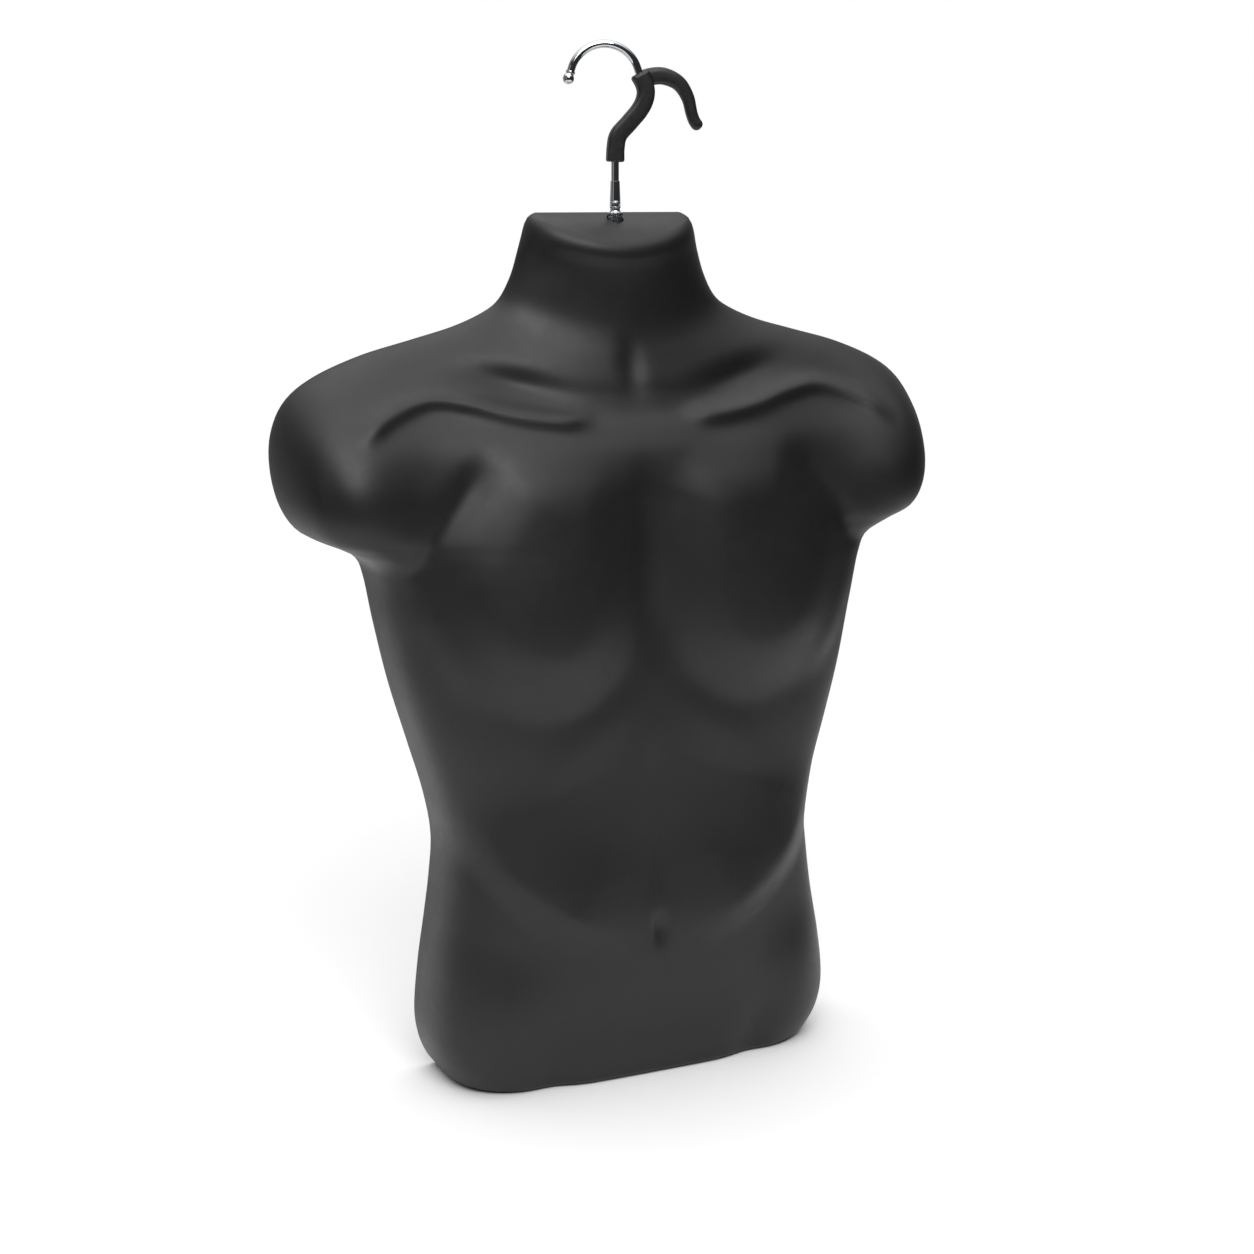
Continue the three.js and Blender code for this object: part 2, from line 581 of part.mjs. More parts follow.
const wireChannel = () => solidOf(tube(wireCurve, WIRE_RADIUS + GAP, WIRE_STEPS, WIRE_SIDES));
const gripBlank = (grow) =>
  solidOf(
    ribbon(gripCurve, 14, () => GRIP_WIDTH + 2 * grow, GRIP_THICKNESS + 2 * grow,
      -GRIP_THICKNESS / 2 - grow, GRIP_BEVEL),
  );
const FAR = 200; // past every piece of the hook
const halfSpace = (side, gap) =>
  side < 0
    ? solidOf(block([-FAR, -FAR, S_FOOT - FAR], [FAR, -gap, S_FOOT + FAR]))
    : solidOf(block([-FAR, gap, S_FOOT - FAR], [FAR, FAR, S_FOOT + FAR]));

function gripFront() {
  return geometryOf(gripBlank(0).intersect(halfSpace(-1, GAP / 2)).subtract(wireChannel()));
}

/** The rear half with its hook arm, which passes behind the top of the front half. */
function gripRear() {
  const arm = solidOf(
    ribbon(armCurve, 16, armWidth, ARM.thickness, GRIP_THICKNESS / 2 - ARM.thickness, ARM.bevel),
  );
  const besideFront = gripBlank(GAP).intersect(halfSpace(-1, -GAP / 2));
  const back = gripBlank(0).intersect(halfSpace(1, GAP / 2));
  return geometryOf(arm.subtract(besideFront).add(back).subtract(wireChannel()));
}

// ---- the assembly ------------------------------------------------------------------------------

const finish = (color, roughness, metalness = 0) => ({ color, roughness, metalness });
const CHARCOAL = finish('#323232', 0.55);
const BLACK_GRIP = finish('#232323', 0.5);
const BLACK_SEAL = finish('#151515', 0.7);
const CHROME = finish('#d9dbde', 0.08, 1);
const ZINC = finish('#a9adb0', 0.35, 1);

const root = new THREE.Group();
const hook = new THREE.Group();
hook.position.set(0, STEM_Y, 0);
hook.rotation.z = THREE.MathUtils.degToRad(HOOK_TURN);
root.add(hook);

function place(group, name, geometry, look, x = 0, y = 0) {
  const mesh = new THREE.Mesh(geometry, new THREE.MeshStandardMaterial(look));
  mesh.name = name;
  mesh.position.set(x, y, 0);
  group.add(mesh);
}

place(root, 'torso_shell', torsoShell(), CHARCOAL);
place(root, 'neck_plate', neckPlate(), ZINC);
for (const [name, [x, y]] of Object.entries(SCREW_PLACES)) {
  place(root, `plate_screw_${name}`, plateScrew(), ZINC, x, y);
}
place(root, 'swivel_bush', swivelBush(), CHROME, 0, STEM_Y);
place(root, 'neck_washer',
  washer(CLEAR_OF_BUSH, NECK_WASHER.radius, SEAT_Z + GAP, WASHER_TOP), BLACK_SEAL, 0, STEM_Y);
place(root, 'collar_ring',
  washer(CLEAR_OF_BUSH, COLLAR.radius, WASHER_TOP + GAP, COLLAR_TOP), CHROME, 0, STEM_Y);
place(root, 'clamp_washer',
  washer(CLEAR_OF_BUSH, CLAMP_WASHER_RADIUS, CLAMP_WASHER_BOTTOM,
    CLAMP_WASHER_BOTTOM + WASHER_THICKNESS), ZINC, 0, STEM_Y);
place(root, 'lock_washer', lockWasher(), ZINC, 0, STEM_Y);
place(root, 'clamp_nut',
  nut(CLAMP_NUT.acrossFlats, CLEAR_OF_BUSH, CLAMP_NUT_BOTTOM, CLAMP_NUT_BOTTOM + CLAMP_NUT.thickness),
  ZINC, 0, STEM_Y);

place(hook, 'hook_wire', tube(wireCurve, WIRE_RADIUS, WIRE_STEPS, WIRE_SIDES), CHROME);
place(hook, 'tip_ball', tipBall(), CHROME);
place(hook, 'stem_ferrule', stemFerrule(), CHROME);
place(hook, 'upper_thrust_washer',
  washer(BORE, THRUST.upperRadius, BUSH_TOP + GAP, THRUST_TOP), BLACK_SEAL);
place(hook, 'lower_thrust_washer',
  washer(BORE, THRUST.lowerRadius, LOWER_THRUST_BOTTOM, LOWER_THRUST_BOTTOM + THRUST.thickness),
  BLACK_SEAL);
place(hook, 'stem_nut',
  nut(STEM_NUT.acrossFlats, BORE, STEM_NUT_BOTTOM, STEM_NUT_BOTTOM + STEM_NUT.thickness), ZINC);
place(hook, 'grip_front', gripFront(), BLACK_GRIP);
place(hook, 'grip_rear', gripRear(), BLACK_GRIP);

export default root;
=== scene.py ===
"""Looks of a hanging torso form: a moulded half torso on a swivelling chrome hook.

Lengths in the sub-assembly classes are millimetres, and MM turns them to metres where a
mesh is made. +Z is up, the form faces -Y, and the open back lies on one flat plane.
"""

import logging
import math
from dataclasses import dataclass, field
from enum import Enum
from typing import Callable, Sequence

import bmesh
import bpy
import numpy as np
from mathutils import Matrix, Vector


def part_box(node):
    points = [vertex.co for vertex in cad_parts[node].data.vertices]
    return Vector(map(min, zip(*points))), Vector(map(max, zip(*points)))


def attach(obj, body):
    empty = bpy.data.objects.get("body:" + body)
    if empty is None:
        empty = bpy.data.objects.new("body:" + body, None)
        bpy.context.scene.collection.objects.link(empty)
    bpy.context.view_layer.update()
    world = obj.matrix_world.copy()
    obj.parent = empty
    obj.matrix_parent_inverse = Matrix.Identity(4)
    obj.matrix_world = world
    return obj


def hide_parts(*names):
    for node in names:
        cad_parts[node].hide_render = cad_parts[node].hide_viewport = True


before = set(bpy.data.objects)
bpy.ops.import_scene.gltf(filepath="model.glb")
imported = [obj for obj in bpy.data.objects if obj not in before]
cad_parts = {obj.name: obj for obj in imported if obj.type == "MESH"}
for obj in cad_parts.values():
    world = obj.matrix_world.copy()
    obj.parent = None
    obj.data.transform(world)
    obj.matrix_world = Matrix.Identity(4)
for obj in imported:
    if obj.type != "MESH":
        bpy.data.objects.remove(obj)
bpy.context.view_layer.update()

MM = 0.001

log = logging.getLogger("torso_form")

Point = tuple[float, float, float]
Pair = tuple[float, float]
Profile = Sequence[Pair]

SAMPLES = 600  # places read on a curve to measure its length
ON_AXIS = 0.001  # radius of an outline's corner that closes on its own axis

SCREWS = tuple(
    f"plate_screw_{row}_{side}" for row in ("front", "back") for side in ("left", "right")
)


class Body(Enum):
    """The two bodies of the frame that pieces ride on."""

    FORM = "form"
    HOOK = "hook"


# ---- small tools -----------------------------------------------------------------------


def linear(hex_colour: str) -> tuple[float, float, float, float]:
    """Turns an sRGB hex colour to linear RGBA.

    Args:
        hex_colour: six hex digits after a hash.

    Returns:
        The colour as linear red, green, blue and an alpha of 1.
    """
    channels = (int(hex_colour[i : i + 2], 16) / 255 for i in (1, 3, 5))
    return (*(c / 12.92 if c <= 0.04045 else ((c + 0.055) / 1.055) ** 2.4 for c in channels), 1.0)


def add_node(
    tree: bpy.types.NodeTree,
    kind: str,
    links: dict[str | int, bpy.types.NodeSocket] | None = None,
    inputs: dict[str | int, object] | None = None,
    **settings: object,
) -> bpy.types.Node:
    """Adds a shader node with its settings, input values and incoming links.

    Args:
        tree: the node tree that gets the node.
        kind: the node's type name.
        links: input names or indices and the output sockets that feed them.
        inputs: input names or indices and their values.
        settings: attributes of the node.

    Returns:
        The new node.
    """
    node = tree.nodes.new(kind)
    for name, value in settings.items():
        setattr(node, name, value)
    for name, value in (inputs or {}).items():
        node.inputs[name].default_value = value
    for name, socket in (links or {}).items():
        tree.links.new(socket, node.inputs[name])
    return node


def smooth_step(low: float, high: float, value: np.ndarray) -> np.ndarray:
    """Rises smoothly from 0 at low to 1 at high."""
    t = np.clip((value - low) / (high - low), 0.0, 1.0)
    return t * t * (3 - 2 * t)


def spline(points: Sequence[Sequence[float]], t: np.ndarray) -> np.ndarray:
    """Reads a smooth curve through points.

    Args:
        points: the points that the curve passes through.
        t: places along it, 0 at the first point and 1 at the last.

    Returns:
        One row of coordinates for each place.
    """
    p = np.asarray(points, float)
    padded = np.vstack([2 * p[0] - p[1], p, 2 * p[-1] - p[-2]])
    place = np.clip(np.asarray(t, float), 0, 1) * (len(p) - 1)
    i = np.minimum(place.astype(int), len(p) - 2)
    w = (place - i)[..., None]
    before, here, after, beyond = (padded[i + k] for k in range(4))
    slope, next_slope = (after - before) / 2, (beyond - here) / 2
    cube = 2 * here - 2 * after + slope + next_slope
    square = -3 * here + 3 * after - 2 * slope - next_slope
    return ((cube * w + square) * w + slope) * w + here


def finished(name: str, bm: bmesh.types.BMesh, sharp_degrees: float = 35.0) -> bpy.types.Object:
    """Makes an object of a bmesh, smooth but for its sharp edges.

    Args:
        name: the piece's name.
        bm: its shape, which is freed.
        sharp_degrees: the least angle between two faces that stays a hard edge.

    Returns:
        The object, linked to the scene, at the origin.
    """
    mesh = bpy.data.meshes.new(name)
    bm.to_mesh(mesh)
    bm.free()
    mesh.shade_smooth()
    mesh.set_sharp_from_angle(angle=math.radians(sharp_degrees))
    piece = bpy.data.objects.new(name, mesh)
    bpy.context.scene.collection.objects.link(piece)
    return piece


def sharpen(piece: bpy.types.Object, degrees: float) -> None:
    """Shades a cut piece smooth again, but for edges sharper than some degrees."""
    piece.data.shade_smooth()
    piece.data.set_sharp_from_angle(angle=math.radians(degrees))


def turned(profile: Profile, y: float, segments: int = 64) -> bmesh.types.BMesh:
    """Turns a closed outline round a vertical axis.

    Args:
        profile: radius and height of each corner, in millimetres.
        y: how far back the axis stands, in millimetres.
        segments: steps round the axis.

    Returns:
        The turned solid.
    """
    bm = bmesh.new()
    corners = [bm.verts.new((r * MM, y * MM, z * MM)) for r, z in profile]
    edges = [bm.edges.new((a, b)) for a, b in zip(corners, corners[1:] + corners[:1])]
    bmesh.ops.spin(
        bm, geom=corners + edges, cent=(0, y * MM, 0), axis=(0, 0, 1),
        angle=2 * math.pi, steps=segments, use_merge=True,
    )
    bmesh.ops.remove_doubles(bm, verts=bm.verts[:], dist=1e-6)
    bmesh.ops.recalc_face_normals(bm, faces=bm.faces[:])
    return bm


def rounded(profile: Profile, radius: float, steps: int = 3) -> list[Pair]:
    """Rounds the corners of a closed outline.

    Args:
        profile: the outline's corners.
        radius: the largest round, kept under a third of the sides beside it.
        steps: points added on each round.

    Returns:
        The outline with an arc at each corner.
    """
    points = [Vector(p) for p in profile]
    result: list[Pair] = []
    for before, corner, after in zip(points[-1:] + points[:-1], points, points[1:] + points[:1]):
        back, ahead = before - corner, after - corner
        cut = min(radius, back.length / 3, ahead.length / 3)
        start = corner + back.normalized() * cut
        end = corner + ahead.normalized() * cut
        for k in range(steps + 1):
            t = k / steps
            place = start * (1 - t) ** 2 + corner * 2 * t * (1 - t) + end * t**2
            result.append(tuple(place))
    return result


def lofted(
    point: Callable[[np.ndarray, np.ndarray], np.ndarray], around: int, along: int
) -> bmesh.types.BMesh:
    """Wraps a grid round a path, closed at both ends.

    Args:
        point: gives positions in metres from the turn round the path and the way along it,
            both from 0 to 1. Each end has to draw in to a single point.
        around: steps round the section.
        along: steps along the path.

    Returns:
        The closed solid.
    """
    bm = bmesh.new()
    bmesh.ops.create_grid(bm, x_segments=around, y_segments=along, size=0.5)
    flat = np.array([v.co for v in bm.verts]) + 0.5
    for vertex, place in zip(bm.verts, point(flat[:, 0], flat[:, 1])):
        vertex.co = place
    bmesh.ops.remove_doubles(bm, verts=bm.verts[:], dist=2e-6)
    bmesh.ops.recalc_face_normals(bm, faces=bm.faces[:])
    return bm


class Cut(Enum):
    """The ways that one solid changes another."""

    AWAY = "DIFFERENCE"
    JOINED = "UNION"
    COMMON = "INTERSECT"


def combined(piece: bpy.types.Object, tool: bmesh.types.BMesh, cut: Cut) -> None:
    """Cuts or joins a solid into a piece, and keeps the result as its mesh.

    Args:
        piece: the object that changes.
        tool: the other solid, which is used up.
        cut: how the two combine.
    """
    other = finished("tool", tool)
    modifier = piece.modifiers.new("cut", "BOOLEAN")
    modifier.operation = cut.value
    modifier.solver = "EXACT"
    modifier.object = other
    bpy.context.view_layer.update()
    evaluated = piece.evaluated_get(bpy.context.evaluated_depsgraph_get())
    result = bpy.data.meshes.new_from_object(evaluated)
    piece.modifiers.clear()
    piece.data = result
    result.name = piece.name
    bpy.data.objects.remove(other)


def taken(piece: bpy.types.Object) -> bmesh.types.BMesh:
    """Takes a piece's mesh back as a bmesh, and removes the piece.

    Args:
        piece: the object that is used up.

    Returns:
        Its shape.
    """
    bm = bmesh.new()
    bm.from_mesh(piece.data)
    bpy.data.objects.remove(piece)
    return bm


def cylinder(
    radius: float, bottom: float, top: float, x: float, y: float, sides: int = 48
) -> bmesh.types.BMesh:
    """Makes an upright solid cylinder from millimetre sizes.

    Args:
        radius: its radius.
        bottom: height of its lower end.
        top: height of its upper end.
        x: place of its axis across.
        y: place of its axis front to back.
        sides: facets round it.

    Returns:
        The cylinder.
    """
    bm = bmesh.new()
    middle = Matrix.Translation(Vector((x, y, (bottom + top) / 2)) * MM)
    bmesh.ops.create_cone(
        bm, cap_ends=True, segments=sides, radius1=radius * MM, radius2=radius * MM,
        depth=(top - bottom) * MM, matrix=middle,
    )
    return bm


# ---- finishes ----------------------------------------------------------------------------


class Finish:
    """A material built from nodes once and then shared."""

    slot: str = ""
    title: str = ""

    def shade(
        self, tree: bpy.types.NodeTree, surface: bpy.types.Node, place: bpy.types.NodeSocket
    ) -> None:
        """Adds this finish's nodes, which each finish says for itself.

        Args:
            tree: the material's node tree.
            surface: its surface shader.
            place: the piece's own coordinates, in metres.
        """
        raise NotImplementedError

    def material(self) -> bpy.types.Material:
        """Gives the finish's material, which the first call builds.

        Returns:
            The material, the same one at each call.
        """
        ready = bpy.data.materials.get(self.title)
        if ready:
            return ready
        material = bpy.data.materials.new(self.title)
        material.use_nodes = True
        tree = material.node_tree
        tree.nodes.clear()
        surface = add_node(tree, "ShaderNodeBsdfPrincipled")
        add_node(tree, "ShaderNodeOutputMaterial", {"Surface": surface.outputs["BSDF"]})
        self.shade(tree, surface, add_node(tree, "ShaderNodeTexCoord").outputs["Object"])
        return material


@dataclass(frozen=True)
class MouldedPlastic(Finish):
    """Charcoal polypropylene from a spark-eroded mould: dull, with an even fine grain."""

    slot: str = "charcoal_plastic"
    title: str = "charcoal_moulded_polypropylene"
    colour: str = "#0f0f0f"
    worn_colour: str = "#161616"
    roughness: float = 0.47
    grain_mm: float = 0.9  # real grain is nearer 0.3 mm, too fine to show
    flow_mm: float = 60.0  # slow change of gloss where the melt ran
    scuff_mm: float = 9.0
    ior: float = 1.49

    def shade(
        self, tree: bpy.types.NodeTree, surface: bpy.types.Node, place: bpy.types.NodeSocket
    ) -> None:
        """Grains the surface, and varies its shade and gloss a little.

        Args:
            tree: the material's node tree.
            surface: its surface shader.
            place: the piece's own coordinates, in metres.
        """
        grain = add_node(
            tree, "ShaderNodeTexNoise", {"Vector": place},
            {"Scale": 1000 / self.grain_mm, "Detail": 3.0, "Roughness": 0.6},
        ).outputs["Fac"]
        flow = add_node(
            tree, "ShaderNodeTexNoise", {"Vector": place},
            {"Scale": 1000 / self.flow_mm, "Detail": 4.0, "Roughness": 0.55},
        ).outputs["Fac"]
        scuff = add_node(
            tree, "ShaderNodeTexNoise", {"Vector": place},
            {"Scale": 1000 / self.scuff_mm, "Detail": 6.0, "Roughness": 0.7, "Distortion": 0.6},
        ).outputs["Fac"]
        speckle = add_node(
            tree, "ShaderNodeMapRange", {"Value": grain},
            {"From Min": 0.3, "From Max": 0.7, "To Min": 0.0, "To Max": 1.0},
        ).outputs["Result"]
        shade = add_node(
            tree, "ShaderNodeMix", {0: speckle},
            {6: linear(self.colour), 7: linear(self.worn_colour)}, data_type="RGBA",
        ).outputs[2]
        tree.links.new(shade, surface.inputs["Base Color"])
        gloss = add_node(
            tree, "ShaderNodeMapRange", {"Value": flow},
            {"From Min": 0.3, "From Max": 0.7, "To Min": self.roughness - 0.03,
             "To Max": self.roughness + 0.03},
        ).outputs["Result"]
        rubbed = add_node(
            tree, "ShaderNodeMapRange", {"Value": scuff},
            {"From Min": 0.35, "From Max": 0.75, "To Min": -0.02, "To Max": 0.04},
        ).outputs["Result"]
        rough = add_node(
            tree, "ShaderNodeMath", {0: gloss, 1: rubbed}, operation="ADD"
        ).outputs["Value"]
        tree.links.new(rough, surface.inputs["Roughness"])
        bump = add_node(
            tree, "ShaderNodeBump", {"Height": grain}, {"Strength": 0.25, "Distance": 0.00012}
        )
        tree.links.new(bump.outputs["Normal"], surface.inputs["Normal"])
        surface.inputs["IOR"].default_value = self.ior


@dataclass(frozen=True)
class SoftTouch(Finish):
    """Black nylon with a soft-touch paint: near black, satin, and nearly without grain."""

    slot: str = "black_grip"
    title: str = "black_soft_touch_nylon"
    colour: str = "#131314"
    dust_colour: str = "#1d1d1e"
    roughness: float = 0.42
    grain_mm: float = 0.5
    haze_mm: float = 6.0
    ior: float = 1.5

    def shade(
        self, tree: bpy.types.NodeTree, surface: bpy.types.Node, place: bpy.types.NodeSocket
    ) -> None:
        """Lays a faint haze of dust and a very fine grain over the black.

        Args:
            tree: the material's node tree.
            surface: its surface shader.
            place: the piece's own coordinates, in metres.
        """
        haze = add_node(
            tree, "ShaderNodeTexNoise", {"Vector": place},
            {"Scale": 1000 / self.haze_mm, "Detail": 5.0, "Roughness": 0.65},
        ).outputs["Fac"]
        grain = add_node(
            tree, "ShaderNodeTexNoise", {"Vector": place},
            {"Scale": 1000 / self.grain_mm, "Detail": 2.0},
        ).outputs["Fac"]
        shade = add_node(
            tree, "ShaderNodeMix", {0: haze},
            {6: linear(self.colour), 7: linear(self.dust_colour)}, data_type="RGBA",
        ).outputs[2]
        tree.links.new(shade, surface.inputs["Base Color"])
        rough = add_node(
            tree, "ShaderNodeMapRange", {"Value": haze},
            {"From Min": 0.3, "From Max": 0.7, "To Min": self.roughness - 0.04,
             "To Max": self.roughness + 0.05},
        ).outputs["Result"]
        tree.links.new(rough, surface.inputs["Roughness"])
        bump = add_node(
            tree, "ShaderNodeBump", {"Height": grain}, {"Strength": 0.15, "Distance": 0.00005}
        )
        tree.links.new(bump.outputs["Normal"], surface.inputs["Normal"])
        surface.inputs["IOR"].default_value = self.ior


@dataclass(frozen=True)
class ChromePlate(Finish):
    """Bright chrome on polished steel: a mirror with a few hairlines."""

    slot: str = "chrome"
    title: str = "bright_chrome_plate"
    colour: str = "#bfc1c4"
    roughness: float = 0.07
    hairline_mm: float = 0.4
    ripple_mm: float = 7.0
    scratched: float = 0.2  # roughness in the deepest hairlines

    def shade(
        self, tree: bpy.types.NodeTree, surface: bpy.types.Node, place: bpy.types.NodeSocket
    ) -> None:
        """Draws hairlines in the gloss and a slow ripple in the plate.

        Args:
            tree: the material's node tree.
            surface: its surface shader.
            place: the piece's own coordinates, in metres.
        """
        hairlines = add_node(
            tree, "ShaderNodeTexNoise", {"Vector": place},
            {"Scale": 1000 / self.hairline_mm, "Detail": 4.0, "Distortion": 1.5},
        ).outputs["Fac"]
        ripple = add_node(
            tree, "ShaderNodeTexNoise", {"Vector": place},
            {"Scale": 1000 / self.ripple_mm, "Detail": 1.0},
        ).outputs["Fac"]
        rough = add_node(
            tree, "ShaderNodeMapRange", {"Value": hairlines},
            {"From Min": 0.45, "From Max": 0.8, "To Min": self.roughness,
             "To Max": self.scratched},
        ).outputs["Result"]
        tree.links.new(rough, surface.inputs["Roughness"])
        bump = add_node(
            tree, "ShaderNodeBump", {"Height": ripple}, {"Strength": 0.1, "Distance": 0.0001}
        )
        tree.links.new(bump.outputs["Normal"], surface.inputs["Normal"])
        surface.inputs["Base Color"].default_value = linear(self.colour)
        surface.inputs["Metallic"].default_value = 1.0


@dataclass(frozen=True)
class ZincPlate(Finish):
    """Clear-passivated zinc on pressed steel: grey, cloudy and slightly blue."""

    slot: str = "zinc_steel"
    title: str = "clear_zinc_plated_steel"
    colour: str = "#a7abb0"
    dull_colour: str = "#868a90"
    roughness: float = 0.36
    cloud_mm: float = 3.0

    def shade(
        self, tree: bpy.types.NodeTree, surface: bpy.types.Node, place: bpy.types.NodeSocket
    ) -> None:
        """Clouds the plate and streaks it along the press line.

        Args:
            tree: the material's node tree.
            surface: its surface shader.
            place: the piece's own coordinates, in metres.
        """
        clouds = add_node(
            tree, "ShaderNodeTexNoise", {"Vector": place},
            {"Scale": 1000 / self.cloud_mm, "Detail": 5.0, "Roughness": 0.6},
        ).outputs["Fac"]
        stretched = add_node(
            tree, "ShaderNodeMapping", {"Vector": place}, {"Scale": (1.0, 12.0, 12.0)}
        ).outputs["Vector"]
        streaks = add_node(
            tree, "ShaderNodeTexNoise", {"Vector": stretched}, {"Scale": 220.0, "Detail": 3.0}
        ).outputs["Fac"]
        shade = add_node(
            tree, "ShaderNodeMix", {0: clouds},
            {6: linear(self.colour), 7: linear(self.dull_colour)}, data_type="RGBA",
        ).outputs[2]
        tree.links.new(shade, surface.inputs["Base Color"])
        rough = add_node(
            tree, "ShaderNodeMapRange", {"Value": streaks},
            {"From Min": 0.3, "From Max": 0.7, "To Min": self.roughness - 0.08,
             "To Max": self.roughness + 0.1},
        ).outputs["Result"]
        tree.links.new(rough, surface.inputs["Roughness"])
        bump = add_node(
            tree, "ShaderNodeBump", {"Height": streaks}, {"Strength": 0.1, "Distance": 0.00005}
        )
        tree.links.new(bump.outputs["Normal"], surface.inputs["Normal"])
        surface.inputs["Metallic"].default_value = 1.0


@dataclass(frozen=True)
class WasherRubber(Finish):
    """Black nitrile cut from sheet: dull and slightly dusty."""

    slot: str = "black_seal"
    title: str = "black_nitrile_rubber"
    colour: str = "#121212"
    dust_colour: str = "#222222"
    roughness: float = 0.68
    dust_mm: float = 1.5

    def shade(
        self, tree: bpy.types.NodeTree, surface: bpy.types.Node, place: bpy.types.NodeSocket
    ) -> None:
        """Dusts the black and makes it dull.

        Args:
            tree: the material's node tree.
            surface: its surface shader.
            place: the piece's own coordinates, in metres.
        """
        dust = add_node(
            tree, "ShaderNodeTexNoise", {"Vector": place},
            {"Scale": 1000 / self.dust_mm, "Detail": 6.0, "Roughness": 0.7},
        ).outputs["Fac"]
        shade = add_node(
            tree, "ShaderNodeMix", {0: dust},
            {6: linear(self.colour), 7: linear(self.dust_colour)}, data_type="RGBA",
        ).outputs[2]
        tree.links.new(shade, surface.inputs["Base Color"])
        bump = add_node(
            tree, "ShaderNodeBump", {"Height": dust}, {"Strength": 0.2, "Distance": 0.00006}
        )
        tree.links.new(bump.outputs["Normal"], surface.inputs["Normal"])
        surface.inputs["Roughness"].default_value = self.roughness


def dressed(
    piece: bpy.types.Object, finish: Finish, body: Body, *nodes: str
) -> bpy.types.Object:
    """Gives a piece its finish, its body and the frame's nodes that it stands for.

    Args:
        piece: the finished shape.
        finish: what it is made of.
        body: what it moves with.
        nodes: the frame's nodes that it replaces.

    Returns:
        The same piece.
    """
    piece.data.materials.clear()
    piece.data.materials.append(finish.material())
    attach(piece, body.value)
    if nodes:
        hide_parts(*nodes)
    log.info("%s: %d faces, %s", piece.name, len(piece.data.polygons), finish.title)
    return piece


# ---- the torso ---------------------------------------------------------------------------


@dataclass(frozen=True)
class Stack:
    """Where a round piece of the frame stands on the stem's axis, in millimetres."""

    radius: float
    bottom: float
    top: float
    x: float
    y: float

    @classmethod
    def of(cls, node: str) -> "Stack":
        """Reads a round node's radius, ends and axis from its box in the frame.

        Args:
            node: the node's name.

        Returns:
            Its place on the stem, or beside it for a screw.
        """
        low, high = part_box(node)
        return cls(
            (high.x - low.x) / 2 / MM, low.z / MM, high.z / MM,
            (low.x + high.x) / 2 / MM, (low.y + high.y) / 2 / MM,
        )


@dataclass(frozen=True)
class Section:
    """One row of the skin, from the midline out to the rim of the open back."""

    mid: float  # height on the midline
    half: float  # half width at the rim
    rim: float  # height at the rim
    depth: float  # depth on the midline
    square: float  # how square the section is


@dataclass(frozen=True)
class Mound:
    """A round swelling of the front, or a hollow where its height is negative."""

    x: float
    z: float
    wide: float
    tall: float
    height: float
    turn: float = 0.0  # degrees

    def raise_by(self, x: np.ndarray, z: np.ndarray) -> np.ndarray:
        """Gives how far it lifts the skin.

        Args:
            x: places across.
            z: heights.

        Returns:
            The lift at each place, in millimetres.
        """
        c, s = math.cos(math.radians(self.turn)), math.sin(math.radians(self.turn))
        across = (x - self.x) * c + (z - self.z) * s
        up = (z - self.z) * c - (x - self.x) * s
        return self.height * np.exp(-((across / self.wide) ** 2) - (up / self.tall) ** 2)


def nearest(
    path: Profile, x: np.ndarray, z: np.ndarray, steps: int = 6
) -> tuple[np.ndarray, np.ndarray]:
    """Finds the nearest place on a smooth path.

    Args:
        path: its points on the front, across and up.
        x: places across.
        z: heights.
        steps: straight steps between two points.

    Returns:
        The distance, positive on the path's left, and the way along it from 0 to 1.
    """
    fine = spline(path, np.linspace(0, 1, (len(path) - 1) * steps + 1))
    best = np.full(x.shape, np.inf)
    along = np.zeros(x.shape)
    side = np.ones(x.shape)
    for i, (a, b) in enumerate(zip(fine[:-1], fine[1:])):
        run = b - a
        fx, fz = x - a[0], z - a[1]
        t = np.clip((fx * run[0] + fz * run[1]) / (run @ run), 0, 1)
        distance = np.hypot(fx - t * run[0], fz - t * run[1])
        closer = distance < best
        best = np.where(closer, distance, best)
        along = np.where(closer, (i + t) / (len(fine) - 1), along)
        side = np.where(closer, np.where(run[0] * fz - run[1] * fx >= 0, 1.0, -1.0), side)
    return best * side, along


def faded(along: np.ndarray, fade_in: float, fade_out: float) -> np.ndarray:
    """Fades a form in from its path's start and out to its end."""
    none = -0.001  # just under 0, so that the very end of a path isn't bare
    return smooth_step(none, fade_in, along) * smooth_step(none, fade_out, 1 - along)


@dataclass(frozen=True)
class Ridge:
    """A rounded ridge or groove along a path, which fades out at each end."""

    path: tuple[Pair, ...]
    height: float
    wide: float
    fade_in: float = 0.1
    fade_out: float = 0.1

    def raise_by(self, x: np.ndarray, z: np.ndarray) -> np.ndarray:
        """Gives how far it lifts the skin.

        Args:
            x: places across.
            z: heights.

        Returns:
            The lift at each place, in millimetres.
        """
        distance, along = nearest(self.path, x, z)
        ends = faded(along, self.fade_in, self.fade_out)
        return self.height * np.exp(-((distance / self.wide) ** 2)) * ends


@dataclass(frozen=True)
class Shelf:
    """A step along a path: raised on its left, and fading back over a length."""

    path: tuple[Pair, ...]
    height: float
    soft: float
    fade: float
    fade_in: float = 0.3
    fade_out: float = 0.01

    def raise_by(self, x: np.ndarray, z: np.ndarray) -> np.ndarray:
        """Gives how far it lifts the skin.

        Args:
            x: places across.
            z: heights.

        Returns:
            The lift at each place, in millimetres.
        """
        distance, along = nearest(self.path, x, z)
        back = np.exp(-((np.maximum(distance, 0) / self.fade) ** 2))
        ends = faded(along, self.fade_in, self.fade_out)
        return self.height * smooth_step(-self.soft, self.soft, distance) * back * ends


